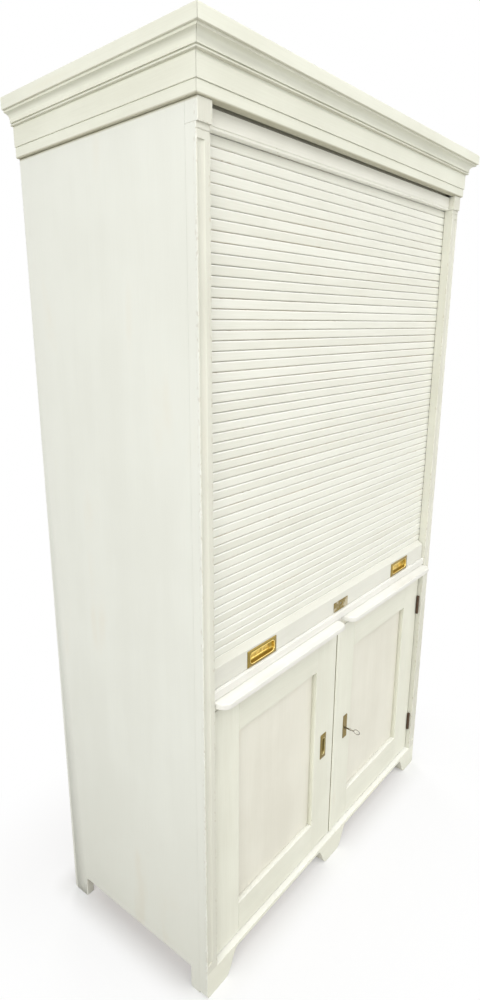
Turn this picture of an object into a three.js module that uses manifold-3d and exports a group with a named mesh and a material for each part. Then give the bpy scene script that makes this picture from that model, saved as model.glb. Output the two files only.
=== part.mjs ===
// Office cabinet with a rising tambour front, two pull-out slides and a pair of panelled doors.
// Millimetres, X to the right, Y to the back, Z up from the floor.
// The pieces are drawn with Y = 0 on the face of the pilasters; the finished group is moved back
// so that its origin lies on the floor under the middle of the cabinet.

import * as THREE from 'three';
import { mergeVertices } from 'three/addons/utils/BufferGeometryUtils.js';
import Module from 'manifold-3d';

const wasm = await Module();
wasm.setup();

// Overall sizes
const carcassWidth = 1200;
const carcassDepth = 503;
const carcassHeight = 1935;
const fit = 0.3;
const overrun = 6;
const roundSteps = 16;

// Carcass boards
const sideThickness = 21;
const pilasterWidth = 38;
const pilasterThickness = 24.4;
const backThickness = 12;
const backLap = 14;
const shelfThickness = 18;
const housingDepth = 6;

// Base
const baseRailHeight = 73;
const archHeight = 62;
const outerFootWidth = 82;
const centreFootHalf = 43;
const footRun = 36;
const footCorner = 11;
const footBlockDepth = 14;
const sideFootFront = 52;
const sideFootRear = 56;
const sideArchHeight = 64;
const sideArchCorner = 7;
const bottomBoardThickness = 19.7;

// Doors
const doorFace = 15;
const doorThickness = 22;
const doorFloorGap = 3;
const doorHeight = 679;
const doorTopGap = 2.5;
const meetingGap = 3;
const stileWidth = 103;
const railWidth = 90;
const panelSink = 14;
const panelThickness = 6;
const grooveDepth = 9;
const tongueLength = 8.4;
const meetingBeadWidth = 20;
const meetingBeadProud = 3;

// Hinges
const leafThickness = 1.1;
const leafHeight = 64;
const leafInset = 111;
const knuckleRadius = 4.5;
const pinRadius = 1.7;
const pinPlay = 0.4;
const leafBackCover = 2;
const knuckleShare = 1 / 3;

// Pull-out slides
const crossRailHeight = 18.5;
const slideThickness = 14;
const slidePlay = 0.5;
const slideProud = 25;
const slideCorner = 25;
const slideRearGap = 66;
const slideTravel = 300;
const slideEdge = 2.5;
const runnerRearGap = 49;
const runnerLedge = 33.7;
const runnerEndPlay = 3;
const centreRibHalf = 17.5;
const centreRunnerHalf = 45;
const stopBattenWidth = 20;
const stopBattenHeight = 14;
const stopBattenInset = 26;

// Sill between the slides and the tambour
const sillThickness = 24;
const sillFace = 4;
const sillNose = 3;

// Tambour curtain and its track
const slatPitch = 19.65;
const slatThickness = 8.4;
const slatGap = 1.3;
const slatEdge = 3.2;
const canvasThickness = 0.8;
const canvasMargin = 17;
const canvasBite = 0.25;
const rigidSlats = 3;
const tailSlats = 8;
const slatFrontPlay = 0.6;
const trackDepth = 8.6;
const trackPlay = 1.4;
const slatEndPlay = 0.6;
const bendRadius = 52;
const bendSteps = 8;
const trackCover = 9.1;
const rearTrackCover = 6.4;
const trackTail = 20;

// Bottom rail of the tambour
const railFace = 10;
const railLift = 1;
const railHeight = 59;
const railBevelDrop = 11;
const railEndPlay = 4;
const railStop = 3;

// Header, capitals and cornice
const headerHeight = 34;
const headerDrop = 4;
const headerFace = 12.5;
const headerQuirk = 1.5;
const headerBead = 5;
const capitalHeight = 37;
const capitalProud = 4;
const capitalExtra = 1.3;
const fluteWidth = 20.5;
const fluteDepth = 3.5;
const fluteMargin = 3.5;
const fluteTopDrop = 24;
const fluteFootRise = 24;
const neckingDrop = 9.5;
const neckingWidth = 1.8;
const neckingDepth = 1.6;
const bandHeight = 21.5;
const bandProud = 8;
const friezeHeight = 36;
const friezeProud = 10;
const beadHeight = 6.5;
const beadProud = 16.5;
const coveHeight = 18.5;
const coveProud = 28.5;
const filletHeight = 4.5;
const filletProud = 31;
const fasciaHeight = 25;
const fasciaProud = 36;
const fasciaRound = 4;
const bandQuirk = 1.4;
const beadQuirk = 2;
const corniceBack = 8;
const mitreGap = 0.5;
const dustBoardThickness = 12;
const dustBoardDrop = 8;

// Inside the upper compartment
const ceilingThickness = 12;
const ceilingDrop = 6;
const ceilingFront = 45;
const falseBackThickness = 8;
const falseBackGap = 10;
const shelfFront = 52;
const upperShelfCount = 2;

// Horizontal flush pulls of the tambour
const pullFromPilaster = 187;
const pullWidth = 116;
const pullHeight = 42;
const pullRise = 21.5;
const pullCupWidth = 98;
const pullCupHeight = 28;
const pullCupCorner = 9;
const pullCupDepth = 9;
const cupSteps = 3;
const pullWall = 1.3;
const plateThickness = 1.5;
const plateCorner = 1.5;

// Lock of the tambour
const lockPlateWidth = 76;
const lockPlateHeight = 27;
const lockPlateRise = 16;
const keyholeRadius = 3.6;
const keyholeSlotWidth = 3.4;
const keyholeSlotDrop = 11;
const railBoltWidth = 14;
const railBoltThickness = 6;
const railBoltLength = 34;
const railBoltThrow = 12;
const railBoltFront = 19;
const boltPlay = 0.5;

// Pull, lock and key of the doors
const doorPullFromEdge = 56;
const doorPlateWidth = 29;
const doorPlateHeight = 78;
const doorPlateCentre = 411;
const doorCupWidth = 15;
const doorCupHeight = 54;
const doorCupCorner = 6;
const doorCupDepth = 9;
const escutcheonWidth = 22;
const escutcheonHeight = 75;
const keyFromEdge = 69.5;
const keyDrop = 5;
const lockCaseLength = 84.2;
const lockCaseHeight = 64;
const lockCaseThickness = 10;
const lockCaseFront = 6;
const lockChamberRadius = 11.5;
const lockBoltLength = 38;
const lockBoltHeight = 12;
const lockBoltThickness = 6;
const lockBoltThrow = 10;
const lockBoltRise = 4;
const keyShaftRadius = 2.6;
const keyBowLength = 21;
const keyBowHeight = 16.6;
const keyBowWire = 2.6;
const keyReach = 40;
const keyBitLength = 9;
const keyBitWidth = 7;
const keyBitThickness = 2.4;
const keyTipDepth = 14;

// Edge bolts of the left door
const edgeBoltSide = 8;
const edgeBoltLength = 144;
const edgeBoltThrow = 14;
const edgeBoltInset = 0.5;
const edgeBoltDepth = 12;

// Places worked out from the sizes
const half = carcassWidth / 2;
const sideInner = half - sideThickness;
const pilasterInner = half - pilasterWidth;
const panelFront = pilasterThickness + fit;
const backInner = carcassDepth - backThickness;
const doorBottom = baseRailHeight + doorFloorGap;
const doorTop = doorBottom + doorHeight;
const doorBack = doorFace + doorThickness;
const crossRailBottom = doorTop + doorTopGap;
const crossRailTop = crossRailBottom + crossRailHeight;
const slideBottom = crossRailTop + slidePlay;
const sillBottom = slideBottom + slideThickness + slidePlay;
const sillTop = sillBottom + sillThickness;
const railBottom = sillTop + railLift;
const railTop = railBottom + railHeight;
const slatsStart = railTop + fit;
const slatFront = pilasterThickness + slatFrontPlay;
const slatBack = slatFront + slatThickness;
const trackHalf = slatThickness / 2 + trackPlay;
const frontRun = slatFront + slatThickness / 2;
const rearRun = backInner - rearTrackCover - trackHalf;
const falseBackRear = rearRun - trackHalf - falseBackGap;
const slatHalf = sideInner + trackDepth - slatEndPlay;
const corniceHeight = bandHeight + friezeHeight + beadHeight + coveHeight + filletHeight + fasciaHeight;
const cabinetHeight = carcassHeight + corniceHeight;
const dustBoardTop = cabinetHeight - dustBoardDrop;
const dustBoardBottom = dustBoardTop - dustBoardThickness;
const panelTop = dustBoardBottom - fit;
const topRun = panelTop - trackCover - trackHalf;
const bendStart = topRun - bendRadius;
const headerTop = carcassHeight - headerDrop;
const headerBottom = headerTop - headerHeight;
const capitalBottom = carcassHeight - fit - capitalHeight;
const capitalInner = pilasterInner - capitalExtra;
const ceilingTop = carcassHeight - ceilingDrop;
const ceilingBottom = ceilingTop - ceilingThickness;
const uprightSlats = Math.floor((bendStart - slatsStart) / slatPitch);
const railTravel = headerBottom - railStop - railTop;

// Materials
const paint = (name, color) => new THREE.MeshStandardMaterial({ name, color, roughness: 0.62, metalness: 0 });
const whitePaint = paint('white paint', 0xeeede2);
const slatPaint = paint('slat paint', 0xf1efe6);
const rawWood = paint('bare wood', 0xc9a878);
const canvasAndSlats = paint('painted slats on canvas', 0xece8dc);
const brass = new THREE.MeshStandardMaterial({ name: 'brass', color: 0xb98a2e, roughness: 0.3, metalness: 1 });
const iron = new THREE.MeshStandardMaterial({ name: 'iron', color: 0x4a423a, roughness: 0.5, metalness: 1 });
const steel = new THREE.MeshStandardMaterial({ name: 'steel', color: 0x9a9890, roughness: 0.3, metalness: 1 });

// Solid from a closed geometry, for joining and cutting
function solid(geometry) {
  const bare = geometry.clone();
  bare.deleteAttribute('normal');
  bare.deleteAttribute('uv');
  const welded = mergeVertices(bare);
  return new wasm.Manifold(new wasm.Mesh({
    numProp: 3,
    vertProperties: new Float32Array(welded.attributes.position.array),
    triVerts: new Uint32Array(welded.index.array),
  }));
}

function geometryOf(body) {
  const mesh = body.getMesh();
  const geometry = new THREE.BufferGeometry();
  geometry.setAttribute('position', new THREE.BufferAttribute(new Float32Array(mesh.vertProperties), 3));
  geometry.setIndex(new THREE.BufferAttribute(new Uint32Array(mesh.triVerts), 1));
  const faceted = geometry.toNonIndexed();
  faceted.computeVertexNormals();
  return faceted;
}

const join = (bodies) => bodies.reduce((whole, body) => whole.add(body));
const cut = (body, cutters) => cutters.reduce((rest, cutter) => rest.subtract(cutter), body);

// Straight block between two corners, given in any order
function block(xs, ys, zs) {
  const [x0, x1] = [Math.min(...xs), Math.max(...xs)];
  const [y0, y1] = [Math.min(...ys), Math.max(...ys)];
  const [z0, z1] = [Math.min(...zs), Math.max(...zs)];
  const box = new THREE.BoxGeometry(x1 - x0, y1 - y0, z1 - z0);
  box.translate((x0 + x1) / 2, (y0 + y1) / 2, (z0 + z1) / 2);
  return box;
}
const solidBlock = (xs, ys, zs) => solid(block(xs, ys, zs));

// Outline pushed along an axis, between two places in any order
const turnToX = new THREE.Matrix4().makeBasis(
  new THREE.Vector3(0, 1, 0), new THREE.Vector3(0, 0, 1), new THREE.Vector3(1, 0, 0));
const turnToY = new THREE.Matrix4().makeBasis(
  new THREE.Vector3(1, 0, 0), new THREE.Vector3(0, 0, 1), new THREE.Vector3(0, -1, 0));

function push(outline, length, curveSegments) {
  return new THREE.ExtrudeGeometry(outline, { depth: length, bevelEnabled: false, curveSegments });
}

// Outline in Y and Z, along X
function alongX(outline, ends, curveSegments = bendSteps) {
  const [from, to] = [Math.min(...ends), Math.max(...ends)];
  return push(outline, to - from, curveSegments).applyMatrix4(turnToX).translate(from, 0, 0);
}

// Outline in X and Z, along Y
function alongY(outline, ends, curveSegments = bendSteps) {
  const [from, to] = [Math.min(...ends), Math.max(...ends)];
  return push(outline, to - from, curveSegments).applyMatrix4(turnToY).translate(0, to, 0);
}

// Outline in X and Y, along Z
function alongZ(outline, ends, curveSegments = bendSteps) {
  const [from, to] = [Math.min(...ends), Math.max(...ends)];
  return push(outline, to - from, curveSegments).translate(0, 0, from);
}

const shapeOf = (points) => new THREE.Shape(points.map(([a, b]) => new THREE.Vector2(a, b)));

// Round bar along an axis named by its turn
function bar(radius, ends, turn) {
  const length = Math.abs(ends[1] - ends[0]);
  const rod = new THREE.CylinderGeometry(radius, radius, length, roundSteps);
  const middle = (ends[0] + ends[1]) / 2;
  if (turn === 'z') return rod.rotateX(Math.PI / 2).translate(0, 0, middle);
  return rod.translate(0, middle, 0);
}

function roundedPlate(width, height, corner, x, z) {
  const [left, right] = [x - width / 2 + corner, x + width / 2 - corner];
  const [low, high] = [z - height / 2 + corner, z + height / 2 - corner];
  const shape = new THREE.Shape();
  shape.absarc(right, low, corner, -Math.PI / 2, 0, false);
  shape.absarc(right, high, corner, 0, Math.PI / 2, false);
  shape.absarc(left, high, corner, Math.PI / 2, Math.PI, false);
  shape.absarc(left, low, corner, Math.PI, Math.PI * 3 / 2, false);
  return shape;
}

// Round eye with a slot below it
function keyholeShape(x, z) {
  const side = keyholeSlotWidth / 2;
  const turn = Math.asin(side / keyholeRadius);
  const shape = new THREE.Shape();
  shape.moveTo(x - side, z - keyholeSlotDrop);
  shape.lineTo(x + side, z - keyholeSlotDrop);
  shape.absarc(x, z, keyholeRadius, turn - Math.PI / 2, Math.PI * 3 / 2 - turn, false);
  return shape;
}

// Scene graph: each moving part has a group whose origin lies on its joint
const cabinet = new THREE.Group();
cabinet.name = 'tambour_cabinet';

function movingGroup(name, x, y, z, parent = cabinet) {
  const group = new THREE.Group();
  group.name = name;
  group.userData.pivot = new THREE.Vector3(x, y, z);
  group.position.copy(group.userData.pivot);
  if (parent !== cabinet) group.position.sub(parent.userData.pivot);
  parent.add(group);
  return group;
}

function addPiece(name, shape, material, group = cabinet) {
  const geometry = shape.isBufferGeometry ? shape : geometryOf(shape);
  if (group !== cabinet) {
    const pivot = group.userData.pivot;
    geometry.translate(-pivot.x, -pivot.y, -pivot.z);
  }
  const mesh = new THREE.Mesh(geometry, material);
  mesh.name = name;
  group.add(mesh);
  return mesh;
}

const sides = [['left', -1], ['right', 1]];

// Curtain path, measured upward from the first slat along the canvas
const canvasBend = bendRadius - slatThickness / 2;
const canvasQuarter = canvasBend * Math.PI / 2;
const uprightRun = bendStart - slatsStart;
const levelRun = rearRun - frontRun - bendRadius * 2;

function trackPoint(distance) {
  const arcPoint = (y, turn) => ({
    y: y - canvasBend * Math.cos(turn),
    z: bendStart + canvasBend * Math.sin(turn),
    outY: -Math.cos(turn),
    outZ: Math.sin(turn),
  });
  if (distance <= uprightRun) return { y: slatBack, z: slatsStart + distance, outY: -1, outZ: 0 };
  const pastUpright = distance - uprightRun;
  if (pastUpright <= canvasQuarter) return arcPoint(frontRun + bendRadius, pastUpright / canvasBend);
  const pastBend = pastUpright - canvasQuarter;
  return { y: frontRun + bendRadius + pastBend, z: bendStart + canvasBend, outY: 0, outZ: 1 };
}

// One slat: flat back on the canvas, front corners rounded
function slatOutline(index) {
  const start = trackPoint(index * slatPitch);
  const end = trackPoint((index + 1) * slatPitch);
  const chord = Math.hypot(end.y - start.y, end.z - start.z);
  const [alongY0, alongZ0] = [(end.y - start.y) / chord, (end.z - start.z) / chord];
  const margin = (chord - slatPitch + slatGap) / 2;
  const at = (run, rise) => new THREE.Vector2(
    start.y + alongY0 * run - alongZ0 * rise,
    start.z + alongZ0 * run + alongY0 * rise);
  const corner = slatEdge * (1 - Math.SQRT1_2);
  return new THREE.Shape([
    at(margin, -canvasBite),
    at(chord - margin, -canvasBite),
    at(chord - margin, slatThickness - slatEdge),
    at(chord - margin - corner, slatThickness - corner),
    at(chord - margin - slatEdge, slatThickness),
    at(margin + slatEdge, slatThickness),
    at(margin + corner, slatThickness - corner),
    at(margin, slatThickness - slatEdge),
  ]);
}

// Strip of canvas behind a run of slats
function canvasOutline(first, count) {
  const face = [];
  const back = [];
  for (let index = 0; index <= count; index += 1) {
    const inset = index === 0 ? slatGap / 2 : index === count ? -slatGap / 2 : 0;
    const point = trackPoint((first + index) * slatPitch + inset);
    face.push(new THREE.Vector2(point.y, point.z));
    back.push(new THREE.Vector2(point.y - point.outY * canvasThickness, point.z - point.outZ * canvasThickness));
  }
  return new THREE.Shape([...face, ...back.reverse()]);
}

function curtain(first, count) {
  const canvasHalf = slatHalf - canvasMargin;
  const bodies = [solid(alongX(canvasOutline(first, count), [-canvasHalf, canvasHalf]))];
  for (let index = 0; index < count; index += 1) {
    bodies.push(solid(alongX(slatOutline(first + index), [-slatHalf, slatHalf])));
  }
  return join(bodies);
}

// Routed track: up the front, over the top and down behind the false back
const curtainLength = (uprightSlats + tailSlats) * slatPitch;
const pathToRear = uprightRun + canvasQuarter * 2 + levelRun;
const rearTrackEnd = bendStart - (curtainLength + railTravel - pathToRear) - trackTail;

function trackOutline() {
  const [frontCentre, rearCentre] = [frontRun + bendRadius, rearRun - bendRadius];
  const [wide, tight] = [bendRadius + trackHalf, bendRadius - trackHalf];
  const shape = new THREE.Shape();
  shape.moveTo(frontRun - trackHalf, sillTop);
  shape.lineTo(frontRun - trackHalf, bendStart);
  shape.absarc(frontCentre, bendStart, wide, Math.PI, Math.PI / 2, true);
  shape.absarc(rearCentre, bendStart, wide, Math.PI / 2, 0, true);
  shape.lineTo(rearRun + trackHalf, rearTrackEnd);
  shape.lineTo(rearRun - trackHalf, rearTrackEnd);
  shape.lineTo(rearRun - trackHalf, bendStart);
  shape.absarc(rearCentre, bendStart, tight, 0, Math.PI / 2, false);
  shape.absarc(frontCentre, bendStart, tight, Math.PI / 2, Math.PI, false);
  shape.lineTo(frontRun + trackHalf, sillTop);
  return shape;
}

// Upper and lower shelf places
const upperBay = (ceilingBottom - sillTop - upperShelfCount * shelfThickness) / (upperShelfCount + 1);
const upperShelfBottoms = Array.from(
  { length: upperShelfCount },
  (_, index) => sillTop + upperBay * (index + 1) + shelfThickness * index);
const bottomBoardTop = baseRailHeight - fit;
const lowerShelfBottom = (bottomBoardTop + crossRailBottom - shelfThickness) / 2;
const lowerShelfRear = backInner - fit;
const falseBackFront = falseBackRear - falseBackThickness;

// Side panels: feet with a cut-out between them, a shouldered top that the cornice slips over,
// the routed track and the housings of every board that crosses the cabinet
function sideOutline() {
  const rearFootFront = carcassDepth - sideFootRear;
  const shape = new THREE.Shape();
  shape.moveTo(panelFront, 0);
  shape.lineTo(sideFootFront - footCorner, 0);
  shape.quadraticCurveTo(sideFootFront, 0, sideFootFront, footCorner);
  shape.lineTo(sideFootFront, sideArchHeight);
  shape.lineTo(rearFootFront - sideArchCorner, sideArchHeight);
  shape.quadraticCurveTo(rearFootFront, sideArchHeight, rearFootFront, sideArchHeight - sideArchCorner);
  shape.lineTo(rearFootFront, footCorner);
  shape.quadraticCurveTo(rearFootFront, 0, rearFootFront + footCorner, 0);
  shape.lineTo(carcassDepth - footCorner, 0);
  shape.quadraticCurveTo(carcassDepth, 0, carcassDepth, footCorner);
  shape.lineTo(carcassDepth, carcassHeight - fit);
  shape.lineTo(panelFront, carcassHeight - fit);
  return shape;
}

function sidePanel(side) {
  const housing = (bottom, thickness, from, to) => solidBlock(
    [side * (sideInner - overrun), side * (sideInner + housingDepth)],
    [from, to], [bottom - fit, bottom + thickness + fit]);
  const board = solid(alongX(sideOutline(), [side * sideInner, side * half], footCorner));
  const tongue = solidBlock(
    [side * sideInner, side * (half - corniceBack - fit)],
    [corniceBack + fit, carcassDepth], [carcassHeight + fit, panelTop]);
  const neck = solidBlock(
    [side * sideInner, side * (half - corniceBack - fit)],
    [panelFront, carcassDepth], [carcassHeight - overrun, carcassHeight + overrun]);
  return cut(join([board, tongue, neck]), [
    solid(alongX(trackOutline(), [side * (sideInner - overrun), side * (sideInner + trackDepth)])),
    housing(baseRailHeight - fit - bottomBoardThickness, bottomBoardThickness, 0, backInner),
    housing(sillBottom, sillThickness, 0, backInner),
    housing(ceilingBottom, ceilingThickness, ceilingFront - fit, falseBackRear + fit),
    housing(lowerShelfBottom, shelfThickness, shelfFront - fit, lowerShelfRear + fit),
    ...upperShelfBottoms.map((bottom) => housing(
      bottom, shelfThickness, shelfFront - fit, falseBackFront)),
  ]);
}

// Boards let into the housings of both side panels
const housedHalf = sideInner + housingDepth - fit;
const acrossHoused = [-housedHalf, housedHalf];

// Pilasters with a stopped flute and a necking line, under square capital blocks
function pilaster(side) {
  const flutedCentre = half - fluteMargin - fluteWidth / 2;
  const fluteRadius = (fluteWidth * fluteWidth / 4 + fluteDepth * fluteDepth) / (fluteDepth * 2);
  const reach = Math.asin(fluteWidth / 2 / fluteRadius);
  const fluteCentreY = fluteDepth - fluteRadius;
  const flute = new THREE.Shape();
  flute.absarc(side * flutedCentre, fluteCentreY, fluteRadius, Math.PI / 2 - reach, Math.PI / 2 + reach, false);
  flute.lineTo(side * flutedCentre - fluteWidth / 2, -overrun);
  flute.lineTo(side * flutedCentre + fluteWidth / 2, -overrun);
  const top = capitalBottom - fit;
  const stock = solidBlock(
    [side * pilasterInner, side * half], [0, pilasterThickness], [baseRailHeight + fit, top]);
  return cut(stock, [
    solid(alongZ(flute, [baseRailHeight + fluteFootRise, top - fluteTopDrop])),
    solidBlock(
      [side * (pilasterInner - overrun), side * (half + overrun)],
      [-overrun, neckingDepth], [top - neckingDrop - neckingWidth, top - neckingDrop]),
  ]);
}

for (const [name, side] of sides) {
  addPiece(`side_panel_${name}`, sidePanel(side), whitePaint);
  addPiece(`pilaster_${name}`, pilaster(side), whitePaint);
  addPiece(`capital_block_${name}`, block(
    [side * capitalInner, side * half], [-capitalProud, pilasterThickness],
    [capitalBottom, carcassHeight - fit]), whitePaint);
}

// Front base rail, with three feet shaped below it
function baseRailOutline() {
  const innerFoot = half - outerFootWidth;
  const shape = new THREE.Shape();
  const rise = archHeight - footCorner;
  shape.moveTo(-half + footCorner, 0);
  const footSide = (toe, heel, up) => {
    const direction = Math.sign(heel - toe);
    if (up) {
      shape.lineTo(toe - direction * footCorner, 0);
      shape.bezierCurveTo(
        toe + direction * footCorner, 0, heel - direction * footRun / 2, rise, heel, archHeight);
    } else {
      shape.lineTo(heel, archHeight);
      shape.bezierCurveTo(
        heel - direction * footRun / 2, rise, toe + direction * footCorner, 0, toe - direction * footCorner, 0);
    }
  };
  footSide(-innerFoot, -innerFoot + footRun, true);
  footSide(-centreFootHalf, -centreFootHalf - footRun, false);
  footSide(centreFootHalf, centreFootHalf + footRun, true);
  footSide(innerFoot, innerFoot - footRun, false);
  shape.lineTo(half - footCorner, 0);
  shape.quadraticCurveTo(half, 0, half, footCorner);
  shape.lineTo(half, baseRailHeight);
  shape.lineTo(-half, baseRailHeight);
  shape.lineTo(-half, footCorner);
  shape.quadraticCurveTo(-half, 0, -half + footCorner, 0);
  return shape;
}

// The feet are thicker than the rail: their outline runs on behind it, up to the bottom board
function baseRail() {
  const depths = [pilasterThickness - overrun, pilasterThickness + footBlockDepth];
  const heights = [0, bottomBoardTop - bottomBoardThickness - fit];
  const behindRail = (from, to) => solidBlock([from, to], depths, heights);
  const feet = solid(alongY(baseRailOutline(), depths)).intersect(join([
    behindRail(-sideInner + fit, -half + outerFootWidth + footRun),
    behindRail(-centreFootHalf - footRun, centreFootHalf + footRun),
    behindRail(half - outerFootWidth - footRun, sideInner - fit),
  ]));
  return join([solid(alongY(baseRailOutline(), [0, pilasterThickness])), feet]);
}
addPiece('base_rail', baseRail(), whitePaint);

// Edge bolt places, shared by the left door and the boards that it locks into
const edgeBoltX = -(meetingGap / 2 + edgeBoltInset + edgeBoltSide / 2);
const edgeBoltY = doorFace + edgeBoltDepth + edgeBoltSide / 2;
const boltHole = (low, high) => solidBlock(
  [edgeBoltX - edgeBoltSide / 2 - boltPlay, edgeBoltX + edgeBoltSide / 2 + boltPlay],
  [edgeBoltY - edgeBoltSide / 2 - boltPlay, edgeBoltY + edgeBoltSide / 2 + boltPlay], [low, high]);

addPiece('bottom_board', cut(
  solidBlock(acrossHoused, [panelFront, backInner - fit],
    [bottomBoardTop - bottomBoardThickness, bottomBoardTop]),
  [boltHole(bottomBoardTop - edgeBoltThrow, bottomBoardTop + overrun)]), rawWood);

// Sill board: its nose runs out between the pilasters and takes the bolt of the tambour
function sillBoard() {
  const nose = shapeOf([
    [sillFace + sillNose, sillBottom], [sillFace, sillBottom + sillNose],
    [sillFace, sillTop - sillNose], [sillFace + sillNose, sillTop],
    [panelFront + overrun, sillTop], [panelFront + overrun, sillBottom]]);
  const noseHalf = pilasterInner - fit;
  const strike = solidBlock(
    [-railBoltWidth / 2 - boltPlay, railBoltWidth / 2 + boltPlay],
    [railBoltFront - boltPlay, railBoltFront + railBoltThickness + boltPlay],
    [sillTop - railBoltThrow - boltPlay, sillTop + overrun]);
  return cut(join([
    solid(alongX(nose, [-noseHalf, noseHalf])),
    solidBlock(acrossHoused, [panelFront, backInner - fit], [sillBottom, sillTop]),
  ]), [strike]);
}
addPiece('sill_board', sillBoard(), whitePaint);

addPiece('cross_rail', cut(
  solidBlock([-pilasterInner + fit, pilasterInner - fit], [doorFace, doorBack],
    [crossRailBottom, crossRailTop]),
  [boltHole(crossRailBottom - overrun, crossRailBottom + edgeBoltThrow)]), whitePaint);

// Header board with a quirk that sets off the bead on its lower edge
const headerHalf = capitalInner - fit;
addPiece('header_board', alongX(shapeOf([
  [headerFace + headerQuirk, headerBottom],
  [headerFace, headerBottom + headerQuirk],
  [headerFace, headerBottom + headerBead],
  [headerFace + headerQuirk, headerBottom + headerBead],
  [headerFace + headerQuirk, headerBottom + headerBead + headerQuirk],
  [headerFace, headerBottom + headerBead + headerQuirk],
  [headerFace, headerTop],
  [pilasterThickness, headerTop],
  [pilasterThickness, headerBottom]]), [-headerHalf, headerHalf]), whitePaint);

// Cornice: one moulding on the front and on both sides, mitred at the corners.
// A point of the section is how far it stands out from the carcass, and its height.
function corniceSection() {
  const bandTop = carcassHeight + bandHeight;
  const friezeTop = bandTop + friezeHeight;
  const beadTop = friezeTop + beadHeight;
  const coveTop = beadTop + coveHeight;
  const filletTop = coveTop + filletHeight;
  const shape = new THREE.Shape();
  shape.moveTo(-corniceBack, carcassHeight);
  shape.lineTo(bandProud, carcassHeight);
  shape.lineTo(bandProud, bandTop - bandQuirk);
  shape.lineTo(bandProud - bandQuirk, bandTop - bandQuirk);
  shape.lineTo(bandProud - bandQuirk, bandTop);
  shape.lineTo(friezeProud, bandTop);
  shape.lineTo(friezeProud, friezeTop - beadQuirk);
  shape.lineTo(friezeProud - beadQuirk, friezeTop - beadQuirk);
  shape.lineTo(friezeProud - beadQuirk, friezeTop);
  shape.quadraticCurveTo(beadProud, friezeTop, beadProud, friezeTop + beadHeight / 2);
  shape.lineTo(beadProud, beadTop);
  shape.lineTo(beadProud - beadQuirk, beadTop);
  shape.lineTo(beadProud - beadQuirk, beadTop + beadQuirk);
  shape.lineTo(beadProud, beadTop + beadQuirk);
  shape.quadraticCurveTo(beadProud, coveTop, coveProud, coveTop);
  shape.lineTo(filletProud, coveTop);
  shape.lineTo(filletProud, filletTop);
  shape.lineTo(fasciaProud - fasciaRound / 2, filletTop);
  shape.quadraticCurveTo(fasciaProud, filletTop, fasciaProud, filletTop + fasciaRound);
  shape.lineTo(fasciaProud, cabinetHeight - fasciaRound);
  shape.quadraticCurveTo(fasciaProud, cabinetHeight, fasciaProud - fasciaRound, cabinetHeight);
  shape.lineTo(-corniceBack, cabinetHeight);
  return shape;
}

// The section is pushed a full width long; each end is then set to where its point of the mitre lies
function mitredLength(startOf, endOf, place) {
  const moulding = push(corniceSection(), carcassWidth, roundSteps / 4);
  const position = moulding.attributes.position;
  for (let index = 0; index < position.count; index += 1) {
    const out = position.getX(index);
    const along = position.getZ(index) < half ? startOf(out) : endOf(out);
    position.setXYZ(index, ...place(out, along, position.getY(index)));
  }
  return moulding;
}

const mitreEnd = (out) => half + out - mitreGap;
const sideFront = (out) => -out;
const sideRear = () => carcassDepth;
addPiece('cornice_front', solid(mitredLength(
  mitreEnd, (out) => -mitreEnd(out), (out, along, height) => [along, -out, height])), whitePaint);
addPiece('cornice_left', solid(mitredLength(
  sideFront, sideRear, (out, along, height) => [-half - out, along, height])), whitePaint);
addPiece('cornice_right', solid(mitredLength(
  sideRear, sideFront, (out, along, height) => [half + out, along, height])), whitePaint);

const dustHalf = half - corniceBack - fit;
addPiece('dust_board', block(
  [-dustHalf, dustHalf], [corniceBack + fit, carcassDepth - fit], [dustBoardBottom, dustBoardTop]), rawWood);
addPiece('ceiling_board', block(
  acrossHoused, [ceilingFront, falseBackRear], [ceilingBottom, ceilingTop]), rawWood);
addPiece('false_back', block(
  [-sideInner + fit, sideInner - fit], [falseBackFront, falseBackRear],
  [sillTop + fit, ceilingBottom - fit]), rawWood);
upperShelfBottoms.forEach((bottom, index) => {
  addPiece(`upper_shelf_${index + 1}`, block(
    acrossHoused, [shelfFront, falseBackFront - fit], [bottom, bottom + shelfThickness]), rawWood);
});
addPiece('lower_shelf', block(
  acrossHoused, [shelfFront, lowerShelfRear], [lowerShelfBottom, lowerShelfBottom + shelfThickness]), rawWood);

// Back boards, lapped where they meet
const backMiddle = (backInner + carcassDepth) / 2;
const backHeights = [bottomBoardTop - bottomBoardThickness, panelTop];
addPiece('back_board_left', alongZ(shapeOf([
  [-sideInner + fit, backInner], [-backLap / 2, backInner], [-backLap / 2, backMiddle + fit / 2],
  [backLap / 2, backMiddle + fit / 2], [backLap / 2, carcassDepth], [-sideInner + fit, carcassDepth],
]), backHeights), rawWood);
addPiece('back_board_right', alongZ(shapeOf([
  [-backLap / 2 + fit, backInner], [sideInner - fit, backInner], [sideInner - fit, carcassDepth],
  [backLap / 2 + fit, carcassDepth], [backLap / 2 + fit, backMiddle - fit / 2],
  [-backLap / 2 + fit, backMiddle - fit / 2],
]), backHeights), rawWood);

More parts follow.
